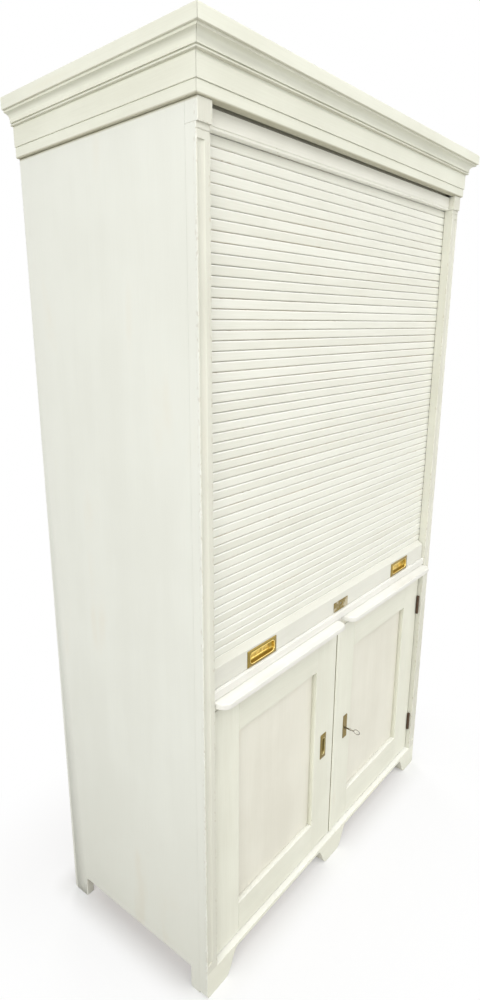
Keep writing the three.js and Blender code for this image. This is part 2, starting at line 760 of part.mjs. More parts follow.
// Runners under and beside the slides
const runnerFront = doorBack + fit;
const runnerRear = backInner - runnerRearGap;
const guideTop = sillBottom - fit;
const slideOuter = pilasterInner - runnerEndPlay;
const slideInner = centreRibHalf + slidePlay;
for (const [name, side] of sides) {
  const guide = slideOuter + slidePlay;
  const wall = sideInner - fit;
  addPiece(`slide_runner_${name}`, alongY(shapeOf([
    [side * (wall - runnerLedge), crossRailBottom],
    [side * wall, crossRailBottom],
    [side * wall, guideTop],
    [side * guide, guideTop],
    [side * guide, crossRailTop],
    [side * (wall - runnerLedge), crossRailTop],
  ]), [runnerFront, runnerRear]), rawWood);
}
addPiece('slide_runner_centre', join([
  solidBlock([-centreRunnerHalf, centreRunnerHalf], [runnerFront, runnerRear],
    [crossRailBottom, crossRailTop]),
  solidBlock([-centreRibHalf, centreRibHalf], [runnerFront, runnerRear], [crossRailTop - fit, guideTop]),
  solidBlock([-centreRibHalf, centreRibHalf], [doorFace, runnerFront + overrun],
    [crossRailTop + fit, guideTop]),
]), whitePaint);

// Pull-out slides: thin boards with rounded front corners and a stop batten below
function slideBoard(side) {
  const [left, right] = side > 0 ? [slideInner, slideOuter] : [-slideOuter, -slideInner];
  const [front, rear] = [-slideProud + slideEdge, backInner - slideRearGap];
  const corner = slideCorner - slideEdge;
  const outline = new THREE.Shape();
  outline.moveTo(left + slideEdge, rear);
  outline.lineTo(left + slideEdge, front + corner);
  outline.absarc(left + slideEdge + corner, front + corner, corner, Math.PI, Math.PI * 3 / 2, false);
  outline.absarc(right - slideEdge - corner, front + corner, corner, Math.PI * 3 / 2, Math.PI * 2, false);
  outline.lineTo(right - slideEdge, rear);
  const board = new THREE.ExtrudeGeometry(outline, {
    depth: slideThickness - slideEdge * 2,
    bevelSize: slideEdge,
    bevelThickness: slideEdge,
    bevelSegments: 2,
    curveSegments: bendSteps,
  });
  board.translate(0, 0, slideBottom + slideEdge);
  const batten = solidBlock(
    [left + centreRunnerHalf + stopBattenInset, right - centreRunnerHalf - stopBattenInset],
    [runnerFront + slideTravel, runnerFront + slideTravel + stopBattenWidth],
    [slideBottom - stopBattenHeight, slideBottom + slideEdge]);
  return join([solid(board), batten]);
}
for (const [name, side] of sides) {
  const group = movingGroup(`slide_${name}_group`, side * (slideInner + slideOuter) / 2, 0, slideBottom);
  addPiece(`slide_${name}`, slideBoard(side), whitePaint, group);
}

// Cup-shaped flush pull, let into the board behind its plate
function cupSolid(x, z, [width, height, corner], wall, ends) {
  const outline = roundedPlate(width + wall * 2, height + wall * 2, corner + wall, x, z);
  return solid(alongY(outline, ends, cupSteps));
}

function flushPull(x, z, face, plate, cup, depth) {
  const plateFront = face - fit - plateThickness;
  return cut(join([
    solid(alongY(roundedPlate(plate[0], plate[1], plateCorner, x, z), [plateFront, face - fit], 2)),
    cupSolid(x, z, cup, pullWall, [face - fit * 2, face + depth + pullWall]),
  ]), [cupSolid(x, z, cup, 0, [plateFront - overrun, face + depth])]);
}

function pullPocket(x, z, face, cup, depth) {
  const wall = pullWall + fit;
  return cupSolid(x, z, cup, wall, [face - overrun, face + depth + wall]);
}

// Tambour: moulded bottom rail with its slats, pulls and lock
const tambour = movingGroup('tambour_group', 0, frontRun, railBottom);
const pullCentre = railBottom + pullRise;
const pullSpread = pilasterInner - pullFromPilaster;
const railPlateCentre = railBottom + lockPlateRise;
const pullPlate = [pullWidth, pullHeight];
const pullCup = [pullCupWidth, pullCupHeight, pullCupCorner];
const doorCup = [doorCupWidth, doorCupHeight, doorCupCorner];

function tambourRail() {
  const faceHalf = pilasterInner - railEndPlay;
  const section = shapeOf([
    [railFace, railBottom], [railFace, railTop - railBevelDrop], [slatFront, railTop],
    [slatBack, railTop], [slatBack, railBottom]]);
  const tongue = solidBlock([-slatHalf, slatHalf], [slatFront, slatBack], [railBottom, railTop]);
  const boltChamber = solidBlock(
    [-railBoltWidth / 2 - boltPlay, railBoltWidth / 2 + boltPlay],
    [railBoltFront - boltPlay, railBoltFront + railBoltThickness + boltPlay],
    [railBottom - overrun, railBottom + railBoltLength + boltPlay * 2]);
  return cut(join([solid(alongX(section, [-faceHalf, faceHalf])), tongue]), [
    ...sides.map(([, side]) => pullPocket(side * pullSpread, pullCentre, railFace, pullCup, pullCupDepth)),
    boltChamber,
    solid(alongY(keyholeShape(0, railPlateCentre + keyholeRadius), [railFace - overrun, railBoltFront])),
  ]);
}
addPiece('tambour_rail', tambourRail(), slatPaint, tambour);
addPiece('tambour_slats_lower', curtain(0, rigidSlats), canvasAndSlats, tambour);
for (const [name, side] of sides) {
  addPiece(`tambour_pull_${name}`,
    flushPull(side * pullSpread, pullCentre, railFace, pullPlate, pullCup, pullCupDepth), brass, tambour);
}
const railPlate = roundedPlate(lockPlateWidth, lockPlateHeight, plateCorner, 0, railPlateCentre);
railPlate.holes.push(keyholeShape(0, railPlateCentre + keyholeRadius));
addPiece('tambour_lock_plate', alongY(railPlate, [railFace - fit - plateThickness, railFace - fit], 3),
  brass, tambour);
const railBolt = movingGroup('tambour_bolt_group', 0, railBoltFront, railBottom, tambour);
addPiece('tambour_lock_bolt', block(
  [-railBoltWidth / 2, railBoltWidth / 2], [railBoltFront, railBoltFront + railBoltThickness],
  [railBottom + boltPlay, railBottom + railBoltLength]), steel, railBolt);
addPiece('tambour_slats_upper', curtain(rigidSlats, uprightSlats - rigidSlats), canvasAndSlats);
addPiece('tambour_slats_tail', curtain(uprightSlats, tailSlats), canvasAndSlats);

// Doors: stiles and rails around a sunk panel, on butt hinges at the pilasters
const knuckleX = pilasterInner - fit - knuckleRadius;
const knuckleY = doorFace - fit - knuckleRadius;
const doorOuter = pilasterInner - leafThickness * 2 - fit * 3;
const doorInner = meetingGap / 2;
const openingOuter = doorOuter - stileWidth;
const openingInner = doorInner + stileWidth;
const panelFace = doorFace + panelSink;
const panelBack = panelFace + panelThickness;
const keyX = doorInner + keyFromEdge;
const keyZ = doorPlateCentre - keyDrop;
const caseFront = doorFace + lockCaseFront;
const lockBoltMiddle = keyZ + keyDrop + lockBoltRise;
const lockBoltFront = caseFront + (lockCaseThickness - lockBoltThickness) / 2;

// Groove that holds the panel, on one edge of a frame piece
const edgeGroove = (xs, zs) => solidBlock(xs, [panelFace - fit, panelBack + fit], zs);

function hingeStile(side) {
  return cut(
    solidBlock([side * openingOuter, side * doorOuter], [doorFace, doorBack], [doorBottom, doorTop]),
    [edgeGroove([side * (openingOuter - overrun), side * (openingOuter + grooveDepth)],
      [doorBottom - overrun, doorTop + overrun])]);
}

const meetingGroove = (side) => edgeGroove(
  [side * (openingInner - grooveDepth), side * (openingInner + overrun)],
  [doorBottom - overrun, doorTop + overrun]);

function leftMeetingStile() {
  const edge = -doorInner;
  const boltSlot = (low, high) => solidBlock(
    [edge + overrun, edge - edgeBoltInset - edgeBoltSide - boltPlay],
    [doorFace + edgeBoltDepth - boltPlay, doorFace + edgeBoltDepth + edgeBoltSide + boltPlay], [low, high]);
  const pullX = edge - doorPullFromEdge;
  return cut(
    solidBlock([-openingInner, edge], [doorFace, doorBack], [doorBottom, doorTop]), [
      meetingGroove(-1),
      boltSlot(doorTop - edgeBoltLength - boltPlay * 2, doorTop + overrun),
      boltSlot(doorBottom - overrun, doorBottom + edgeBoltLength + boltPlay * 2),
      solidBlock([edge + overrun, edge - lockBoltThrow - boltPlay * 2],
        [lockBoltFront - boltPlay, lockBoltFront + lockBoltThickness + boltPlay],
        [lockBoltMiddle - lockBoltHeight / 2 - boltPlay, lockBoltMiddle + lockBoltHeight / 2 + boltPlay]),
      pullPocket(pullX, doorPlateCentre, doorFace, doorCup, doorCupDepth),
    ]);
}

// The right meeting stile carries the bead that dresses the joint between the doors
function rightMeetingStile() {
  const bead = new THREE.Shape();
  bead.moveTo(doorInner, doorFace + overrun);
  bead.lineTo(doorInner, doorFace);
  bead.bezierCurveTo(
    doorInner, doorFace - meetingBeadProud * 4 / 3,
    doorInner + meetingBeadWidth, doorFace - meetingBeadProud * 4 / 3,
    doorInner + meetingBeadWidth, doorFace);
  bead.lineTo(doorInner + meetingBeadWidth, doorFace + overrun);
  return cut(join([
    solidBlock([doorInner, openingInner], [doorFace, doorBack], [doorBottom, doorTop]),
    solid(alongZ(bead, [doorBottom, doorTop])),
  ]), [
    meetingGroove(1),
    solidBlock([doorInner - overrun, doorInner + lockCaseLength + fit * 2],
      [caseFront - fit, caseFront + lockCaseThickness + fit],
      [doorPlateCentre - lockCaseHeight / 2 - fit, doorPlateCentre + lockCaseHeight / 2 + fit]),
    solid(alongY(keyholeShape(keyX, keyZ), [doorFace - overrun, caseFront])),
  ]);
}

// Rail between the stiles, with a tongue at each end and the panel groove on one edge
function doorRail(side, bottom, grooveAtTop) {
  const top = bottom + railWidth;
  const rail = solidBlock(
    [side * (openingInner + fit), side * (openingOuter - fit)], [doorFace, doorBack], [bottom, top]);
  const tongue = solidBlock(
    [side * (openingInner - tongueLength), side * (openingOuter + tongueLength)],
    [panelFace, panelBack], [bottom, top]);
  const groove = grooveAtTop ? [top - grooveDepth, top + overrun] : [bottom - overrun, bottom + grooveDepth];
  return cut(join([rail, tongue]),
    [edgeGroove([side * (openingInner - overrun * 2), side * (openingOuter + overrun * 2)], groove)]);
}

// A pair of hinge leaves: the frame leaf carries the pin, the door leaf turns on it
function hingeLeaves(side, centre) {
  const low = centre - leafHeight / 2;
  const step = leafHeight * knuckleShare;
  const frameLeafX = [side * (pilasterInner - fit - leafThickness), side * (pilasterInner - fit)];
  const doorLeafX = [side * (doorOuter + fit), side * (doorOuter + fit + leafThickness)];
  const whole = [low, low + leafHeight];
  const lower = [low, low + step];
  const middle = [low + step + fit, low + step * 2 - fit];
  const upper = [low + step * 2, low + leafHeight];
  const plateStart = doorFace + fit;
  const barrel = (heights) => solid(bar(knuckleRadius, heights, 'z').translate(side * knuckleX, knuckleY, 0));
  const pin = solid(bar(pinRadius, whole, 'z').translate(side * knuckleX, knuckleY, 0));
  const pinHole = solid(bar(pinRadius + pinPlay, [low, low + leafHeight], 'z')
    .translate(side * knuckleX, knuckleY, 0));
  const frameLeaf = join([
    solidBlock(frameLeafX, [plateStart, pilasterThickness - leafBackCover], whole),
    solidBlock(frameLeafX, [knuckleY, plateStart + fit], lower),
    solidBlock(frameLeafX, [knuckleY, plateStart + fit], upper),
    barrel(lower), barrel(upper), pin,
  ]);
  const doorLeaf = cut(join([
    solidBlock(doorLeafX, [plateStart, doorBack - leafBackCover], whole),
    solidBlock(doorLeafX, [knuckleY + knuckleRadius / 2, plateStart + fit], middle),
    barrel(middle),
  ]), [pinHole]);
  return [frameLeaf, doorLeaf];
}

const doorGroups = {};
for (const [name, side] of sides) {
  const door = movingGroup(`${name}_door_group`, side * knuckleX, knuckleY, doorBottom);
  doorGroups[name] = door;
  addPiece(`${name}_door_hinge_stile`, hingeStile(side), whitePaint, door);
  const meetingStile = side < 0 ? leftMeetingStile() : rightMeetingStile();
  addPiece(`${name}_door_meeting_stile`, meetingStile, whitePaint, door);
  addPiece(`${name}_door_bottom_rail`, doorRail(side, doorBottom, true), whitePaint, door);
  addPiece(`${name}_door_top_rail`, doorRail(side, doorTop - railWidth, false), whitePaint, door);
  addPiece(`${name}_door_panel`, block(
    [side * (openingInner - tongueLength), side * (openingOuter + tongueLength)], [panelFace, panelBack],
    [doorBottom + railWidth - tongueLength, doorTop - railWidth + tongueLength]), whitePaint, door);
  for (const [place, centre] of [['lower', doorBottom + leafInset], ['upper', doorTop - leafInset]]) {
    const [frameLeaf, doorLeaf] = hingeLeaves(side, centre);
    addPiece(`${name}_${place}_hinge_frame_leaf`, frameLeaf, iron);
    addPiece(`${name}_${place}_hinge_door_leaf`, doorLeaf, iron, door);
  }
}

// Left door: flush pull and the two edge bolts that hold it shut
addPiece('left_door_pull', flushPull(
  -doorInner - doorPullFromEdge, doorPlateCentre, doorFace,
  [doorPlateWidth, doorPlateHeight], doorCup, doorCupDepth), brass, doorGroups.left);
const edgeBoltXs = [edgeBoltX - edgeBoltSide / 2, edgeBoltX + edgeBoltSide / 2];
const edgeBoltYs = [edgeBoltY - edgeBoltSide / 2, edgeBoltY + edgeBoltSide / 2];
for (const [place, end, direction] of [['top', doorTop, -1], ['bottom', doorBottom, 1]]) {
  const group = movingGroup(`left_door_${place}_bolt_group`, edgeBoltX, edgeBoltY, end, doorGroups.left);
  addPiece(`left_door_${place}_bolt`, block(
    edgeBoltXs, edgeBoltYs,
    [end + direction * boltPlay, end + direction * edgeBoltLength]), steel, group);
}

// Right door: escutcheon, lock case with its bolt, and the key
const escutcheon = roundedPlate(escutcheonWidth, escutcheonHeight, plateCorner, keyX, doorPlateCentre);
escutcheon.holes.push(keyholeShape(keyX, keyZ));
addPiece('right_door_escutcheon', alongY(escutcheon, [doorFace - fit - plateThickness, doorFace - fit], 3),
  brass, doorGroups.right);

const chamber = bar(lockChamberRadius, [caseFront - overrun, caseFront + lockCaseThickness + overrun], 'y')
  .translate(keyX, 0, keyZ);
addPiece('right_door_lock_case', cut(
  solidBlock([doorInner + fit, doorInner + lockCaseLength], [caseFront, caseFront + lockCaseThickness],
    [doorPlateCentre - lockCaseHeight / 2, doorPlateCentre + lockCaseHeight / 2]), [
    solid(chamber),
    solidBlock([doorInner - overrun, doorInner + lockBoltLength + lockBoltThrow],
      [lockBoltFront - boltPlay, lockBoltFront + lockBoltThickness + boltPlay],
      [lockBoltMiddle - lockBoltHeight / 2 - boltPlay, lockBoltMiddle + lockBoltHeight / 2 + boltPlay]),
  ]), iron, doorGroups.right);
const lockBolt = movingGroup('right_door_lock_bolt_group', doorInner, lockBoltFront, lockBoltMiddle,
  doorGroups.right);
addPiece('right_door_lock_bolt', block(
  [doorInner + boltPlay, doorInner + lockBoltLength], [lockBoltFront, lockBoltFront + lockBoltThickness],
  [lockBoltMiddle - lockBoltHeight / 2, lockBoltMiddle + lockBoltHeight / 2]), steel, lockBolt);

function keyBody() {
  const bowCentre = doorFace - keyReach;
  const ring = new THREE.Shape();
  ring.absellipse(bowCentre, keyZ, keyBowLength / 2, keyBowHeight / 2, 0, Math.PI * 2, false);
  const eye = new THREE.Path();
  const eyeReach = keyBowLength / 2 - keyBowWire;
  eye.absellipse(bowCentre, keyZ, eyeReach, keyBowHeight / 2 - keyBowWire, 0, Math.PI * 2, true);
  ring.holes.push(eye);
  const bow = alongX(ring, [keyX - keyBowWire / 2, keyX + keyBowWire / 2], roundSteps);
  const shaft = bar(keyShaftRadius, [bowCentre + eyeReach + keyBowWire / 2, doorFace + keyTipDepth], 'y')
    .translate(keyX, 0, keyZ);
  const bit = block(
    [keyX - keyBitThickness / 2, keyX + keyBitThickness / 2],
    [doorFace + keyTipDepth - keyBitWidth, doorFace + keyTipDepth], [keyZ - keyBitLength, keyZ]);
  return join([solid(bow), solid(shaft), solid(bit)]);
}
const keyGroup = movingGroup('key_group', keyX, doorFace, keyZ, doorGroups.right);
addPiece('key', keyBody(), steel, keyGroup);

// Move the pieces back so that the origin is under the middle of the box
cabinet.children.forEach((child) => { child.position.y += (fasciaProud - carcassDepth) / 2; });

export default cabinet;
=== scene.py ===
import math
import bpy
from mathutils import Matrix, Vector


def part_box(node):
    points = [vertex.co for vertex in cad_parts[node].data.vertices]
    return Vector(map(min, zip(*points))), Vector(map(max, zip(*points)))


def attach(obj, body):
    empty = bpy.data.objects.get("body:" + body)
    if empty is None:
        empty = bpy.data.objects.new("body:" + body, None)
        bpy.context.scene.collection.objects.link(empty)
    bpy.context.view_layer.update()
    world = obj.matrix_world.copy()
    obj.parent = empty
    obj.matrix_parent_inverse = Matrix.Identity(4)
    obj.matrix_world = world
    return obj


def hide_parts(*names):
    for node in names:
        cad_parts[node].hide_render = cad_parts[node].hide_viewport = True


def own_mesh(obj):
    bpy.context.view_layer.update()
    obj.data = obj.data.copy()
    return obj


bl_info = {
    "name": "Tambour Cabinet",
    "version": (1, 0, 0),
    "blender": (4, 5, 0),
    "location": "View3D > Sidebar > Cabinet",
    "description": "Paints and dresses a tambour cabinet and sets it in a plain studio",
    "category": "Object",
}

import bmesh
import bpy
from bpy.props import FloatProperty, FloatVectorProperty, PointerProperty
from bpy.types import Operator, Panel, PropertyGroup
from mathutils import Matrix, Vector
from mathutils.bvhtree import BVHTree

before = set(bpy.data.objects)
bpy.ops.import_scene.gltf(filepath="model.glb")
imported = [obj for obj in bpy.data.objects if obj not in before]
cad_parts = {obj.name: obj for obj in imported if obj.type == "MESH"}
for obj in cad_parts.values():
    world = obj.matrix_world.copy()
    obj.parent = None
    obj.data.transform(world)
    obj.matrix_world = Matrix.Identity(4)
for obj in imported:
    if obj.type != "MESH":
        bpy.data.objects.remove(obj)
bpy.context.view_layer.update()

MM = 0.001
WHITE = (1.0, 1.0, 1.0, 1.0)

# Vertices of a CAD node this near to each other are one, and faces this near to flat are one face
WELD = 0.004 * MM
FLAT_DEGREES = 0.4
# Distance within which a cut or a comparison takes two places for the same
CUT_DISTANCE = 1e-7
SAME_PLACE = 1e-6
# From this cosine on, a face counts as square to an axis
SQUARE = 0.9
# An edge with another board this near all along stays sharp, and so does one that is shorter
# than this many times the radius of wear
BUTT_GAP = 0.7 * MM
SHORTEST_EDGE = 3.6
# How far from the middle the doors' meeting edges lie, and how deep the cabinet's side planes are
MEETING_EDGE = 3.0 * MM
SIDE_PLANE = 0.5 * MM

# The finishes of a painted board, in the order of its materials
PLAIN, WORN, LIT_LEDGE, SIDE, GRIMY_AND_SHADED = range(5)

# Boards that are painted: the body that carries them, their paint, the way their grain runs
# and the radius in millimetres to which their arrises are worn
PAINTED_BOARDS = {
    "side_panel_left": ("carcass", "side", "z", 1.2),
    "side_panel_right": ("carcass", "side", "z", 1.2),
    "pilaster_left": ("carcass", "pilaster", "z", 1.2),
    "pilaster_right": ("carcass", "pilaster", "z", 1.2),
    "capital_block_left": ("carcass", "pilaster", "z", 1.0),
    "capital_block_right": ("carcass", "pilaster", "z", 1.0),
    "base_rail": ("carcass", "frame", "x", 1.4),
    "sill_board": ("carcass", "slide", "x", 0.7),
    "cross_rail": ("carcass", "frame", "x", 0.7),
    "header_board": ("carcass", "header", "x", 0.5),
    "slide_runner_centre": ("carcass", "slide", "y", 0.6),
    "slide_left": ("left_slide", "slide", "x", 0.0),
    "slide_right": ("right_slide", "slide", "x", 0.0),
    "tambour_rail": ("tambour", "rail", "x", 0.9),
    "left_door_hinge_stile": ("left_door", "frame", "z", 1.1),
    "left_door_meeting_stile": ("left_door", "frame", "z", 1.1),
    "left_door_bottom_rail": ("left_door", "frame", "x", 0.8),
    "left_door_top_rail": ("left_door", "frame", "x", 0.8),
    "left_door_panel": ("left_door", "panel", "z", 0.0),
    "right_door_hinge_stile": ("right_door", "frame", "z", 1.1),
    "right_door_meeting_stile": ("right_door", "frame", "z", 1.1),
    "right_door_bottom_rail": ("right_door", "frame", "x", 0.8),
    "right_door_top_rail": ("right_door", "frame", "x", 0.8),
    "right_door_panel": ("right_door", "panel", "z", 0.0),
}

# Boards of bare wood, and the way their grain runs
BARE_BOARDS = {
    "bottom_board": "x",
    "lower_shelf": "x",
    "upper_shelf_1": "x",
    "upper_shelf_2": "x",
    "ceiling_board": "x",
    "dust_board": "x",
    "false_back": "z",
    "back_board_left": "z",
    "back_board_right": "z",
    "slide_runner_left": "y",
    "slide_runner_right": "y",
}
HINGE_LEAVES = {
    f"{side}_{place}_hinge_{leaf}_leaf": "carcass" if leaf == "frame" else f"{side}_door"
    for side in ("left", "right")
    for place in ("lower", "upper")
    for leaf in ("frame", "door")
}
STEEL_BARS = (
    "tambour_lock_bolt",
    "left_door_top_bolt",
    "left_door_bottom_bolt",
    "right_door_lock_bolt",
)
# What lies in recesses of the painted boards, whose rims stay sharp
LET_IN_FITTINGS = (*HINGE_LEAVES, *STEEL_BARS, "left_door_pull", "right_door_lock_case")


class PaintSettings(PropertyGroup):
    """Colours and sizes of the brushed paint and of the wood under it."""

    frame_colour: FloatVectorProperty(
        name="Frame paint", description="Colour of the base, the cross rail and the door frames",
        subtype="COLOR", size=3, min=0.0, max=1.0, default=(0.81, 0.82, 0.725))
    panel_colour: FloatVectorProperty(
        name="Panel paint", description="Warmer colour of the door panels",
        subtype="COLOR", size=3, min=0.0, max=1.0, default=(0.80, 0.79, 0.705))
    pilaster_colour: FloatVectorProperty(
        name="Pilaster paint", description="Colour of the pilasters and their capital blocks",
        subtype="COLOR", size=3, min=0.0, max=1.0, default=(0.71, 0.715, 0.635))
    rail_colour: FloatVectorProperty(
        name="Rail paint", description="Colour of the tambour's bottom rail",
        subtype="COLOR", size=3, min=0.0, max=1.0, default=(0.745, 0.75, 0.69))
    # Lighter than the frame paint: painted light that offsets the shade the cornice casts on the
    # header
    header_colour: FloatVectorProperty(
        name="Header paint", description="Colour of the board over the tambour, lightened as painted light",
        subtype="COLOR", size=3, min=0.0, max=1.0, default=(0.85, 0.855, 0.785))
    slide_colour: FloatVectorProperty(
        name="Slide paint", description="Whiter colour of the pull-out slides and the sill",
        subtype="COLOR", size=3, min=0.0, max=1.0, default=(0.81, 0.81, 0.775))
    # Painted highlight for the ledges and the slats' top edges, and the white of filler
    highlight_and_filler_colour: FloatVectorProperty(
        name="Ledge paint", description="Painted highlight on the ledges that face up and on the slats' top edges, and white of filler",
        subtype="COLOR", size=3, min=0.0, max=1.0, default=(0.895, 0.90, 0.87))
    side_colour: FloatVectorProperty(
        name="Side paint", description="Cooler colour of the side panels",
        subtype="COLOR", size=3, min=0.0, max=1.0, default=(0.795, 0.815, 0.76))
    cornice_colour: FloatVectorProperty(
        name="Cornice paint", description="Colour of the cornice, with a little green in it",
        subtype="COLOR", size=3, min=0.0, max=1.0, default=(0.795, 0.81, 0.715))
    slat_colour: FloatVectorProperty(
        name="Slat paint", description="Colour of the slats of the tambour",
        subtype="COLOR", size=3, min=0.0, max=1.0, default=(0.82, 0.83, 0.76))
    stain_colour: FloatVectorProperty(
        name="Stain", description="Warm tone where the wood bleeds through the paint",
        subtype="COLOR", size=3, min=0.0, max=1.0, default=(0.70, 0.56, 0.36))
    # Lighter than the paint: rubbed wear together with a painted highlight on the arrises
    rubbed_and_highlit_colour: FloatVectorProperty(
        name="Rubbed paint", description="Colour of arrises that hands have polished, lightened as a painted highlight",
        subtype="COLOR", size=3, min=0.0, max=1.0, default=(0.88, 0.88, 0.82))
    # Used for grime and for painted shade in quirks, under the cornice and in the gap between the
    # doors
    grime_and_shade_colour: FloatVectorProperty(
        name="Grime and painted shade",
        description="Olive grime and painted shade in the quirks, under the cornice and between the doors",
        subtype="COLOR", size=3, min=0.0, max=1.0, default=(0.30, 0.27, 0.16))
    chip_colour: FloatVectorProperty(
        name="Chip", description="Old wood that shows where the paint is knocked off",
        subtype="COLOR", size=3, min=0.0, max=1.0, default=(0.40, 0.32, 0.22))
    wood_colour: FloatVectorProperty(
        name="Bare wood", description="Colour of the unpainted boards inside and behind",
        subtype="COLOR", size=3, min=0.0, max=1.0, default=(0.52, 0.35, 0.19))
    plank_width: FloatProperty(
        name="Plank width", description="Width of the planks in the boards of bare wood",
        unit="LENGTH", default=131.0 * MM, min=0.01)
    linen_colour: FloatVectorProperty(
        name="Linen", description="Colour of the cloth behind the slats",
        subtype="COLOR", size=3, min=0.0, max=1.0, default=(0.76, 0.69, 0.55))


class MetalSettings(PropertyGroup):
    """Colours of the brass, iron and steel fittings."""

    brass_colour: FloatVectorProperty(
        name="Brass", description="Colour of polished brass",
        subtype="COLOR", size=3, min=0.0, max=1.0, default=(0.53, 0.37, 0.075))
    highlight_colour: FloatVectorProperty(
        name="Bright brass", description="Colour of brass where hands keep it bright, and of its painted highlights",
        subtype="COLOR", size=3, min=0.0, max=1.0, default=(0.95, 0.74, 0.26))
    plating_colour: FloatVectorProperty(
        name="Plating", description="Greyer colour of the lock plate where it is not tarnished",
        subtype="COLOR", size=3, min=0.0, max=1.0, default=(0.58, 0.53, 0.40))
    door_pull_colour: FloatVectorProperty(
        name="Door pull", description="Paler brass of the door's pull",
        subtype="COLOR", size=3, min=0.0, max=1.0, default=(0.62, 0.57, 0.32))
    tarnish_colour: FloatVectorProperty(
        name="Tarnish", description="Colour of dulled brass",
        subtype="COLOR", size=3, min=0.0, max=1.0, default=(0.25, 0.185, 0.05))
    iron_colour: FloatVectorProperty(
        name="Iron", description="Colour of the dark hinges",
        subtype="COLOR", size=3, min=0.0, max=1.0, default=(0.11, 0.075, 0.05))
    steel_colour: FloatVectorProperty(
        name="Steel", description="Colour of the key and the bolts",
        subtype="COLOR", size=3, min=0.0, max=1.0, default=(0.33, 0.31, 0.27))
    rust_colour: FloatVectorProperty(
        name="Rust", description="Colour of the spots on the iron",
        subtype="COLOR", size=3, min=0.0, max=1.0, default=(0.09, 0.045, 0.022))
    spot_colour: FloatVectorProperty(
        name="Steel spots", description="Colour of the spots on the steel",
        subtype="COLOR", size=3, min=0.0, max=1.0, default=(0.16, 0.11, 0.07))
    hinge_axis: FloatVectorProperty(
        name="Hinge axis",
        description="Distance of the hinge pins from the middle, and how far back they are",
        unit="LENGTH", size=2, default=(557.2 * MM, -223.3 * MM))
    barrel_radius: FloatProperty(
        name="Barrel radius", description="Faces this near to a hinge pin are bare iron",
        unit="LENGTH", default=4.65 * MM, min=0.001)


class TambourSettings(PropertyGroup):
    """Sizes of the slats of the tambour and of the linen behind them."""

    pitch: FloatProperty(
        name="Pitch", description="Height of one slat with its gap",
        unit="LENGTH", default=19.65 * MM, min=0.005)
    gap: FloatProperty(
        name="Gap", description="Space between two slats",
        unit="LENGTH", default=0.9 * MM, min=0.0)
    rounding: FloatProperty(
        name="Rounding", description="Radius of the front edges of a slat",
        unit="LENGTH", default=3.0 * MM, min=0.0)
    thickness: FloatProperty(
        name="Thickness", description="Thickness of a slat in front of the linen",
        unit="LENGTH", default=8.4 * MM, min=0.001)
    linen_margin: FloatProperty(
        name="Linen margin", description="How far the linen stops short of the slats' ends",
        unit="LENGTH", default=17.0 * MM, min=0.0)
    linen_thickness: FloatProperty(
        name="Linen thickness", description="Thickness of the linen",
        unit="LENGTH", default=0.8 * MM, min=0.0001)
    travel: FloatProperty(
        name="Travel", description="How far the bottom rail rises",
        unit="LENGTH", default=1.019, min=0.1)


class CorniceSettings(PropertyGroup):
    """Section of the cornice: heights above its foot, and how far each member stands out from
    the carcass."""

    back: FloatProperty(name="Back", description="Thickness behind the carcass faces",
                        unit="LENGTH", default=8.0 * MM, min=0.0)
    band_top: FloatProperty(name="Band top", description="Height of the lowest band",
                            unit="LENGTH", default=21.5 * MM, min=0.0)
    band_out: FloatProperty(name="Band out", description="How far the lowest band stands out",
                            unit="LENGTH", default=8.0 * MM, min=0.0)
    frieze_out: FloatProperty(name="Frieze out", description="How far the flat frieze stands out",
                              unit="LENGTH", default=10.0 * MM, min=0.0)
    bead_bottom: FloatProperty(name="Bead bottom", description="Height of the bead's underside",
                               unit="LENGTH", default=60.5 * MM, min=0.0)
    bead_top: FloatProperty(name="Bead top", description="Height of the bead's upper side",
                            unit="LENGTH", default=64.0 * MM, min=0.0)
    bead_out: FloatProperty(name="Bead out", description="How far the bead stands out",
                            unit="LENGTH", default=16.5 * MM, min=0.0)
    cove_bottom: FloatProperty(name="Cove bottom", description="Height where the cove begins",
                               unit="LENGTH", default=66.0 * MM, min=0.0)
    cove_top: FloatProperty(name="Cove top", description="Height where the cove ends",
                            unit="LENGTH", default=82.5 * MM, min=0.0)
    cove_out: FloatProperty(name="Cove out", description="How far the top of the cove stands out",
                            unit="LENGTH", default=28.5 * MM, min=0.0)
    fillet_top: FloatProperty(name="Fillet top", description="Height of the fillet's upper side",
                              unit="LENGTH", default=87.0 * MM, min=0.0)
    fillet_out: FloatProperty(name="Fillet out", description="How far the fillet stands out",
                              unit="LENGTH", default=31.0 * MM, min=0.0)
    fascia_out: FloatProperty(name="Fascia out", description="How far the top member stands out",
                              unit="LENGTH", default=36.0 * MM, min=0.0)
    mitre_gap: FloatProperty(name="Mitre gap", description="Joint line at each corner",
                             unit="LENGTH", default=0.35 * MM, min=0.0)


class KeySettings(PropertyGroup):
    """Sizes of the door key's ring."""

    bow_length: FloatProperty(
        name="Bow length", description="Length of the oval ring along the key",
        unit="LENGTH", default=21.0 * MM, min=0.001)
    bow_height: FloatProperty(
        name="Bow height", description="Height of the oval ring",
        unit="LENGTH", default=16.6 * MM, min=0.001)
    wire: FloatProperty(
        name="Wire", description="Thickness of the ring",
        unit="LENGTH", default=2.4 * MM, min=0.0001)


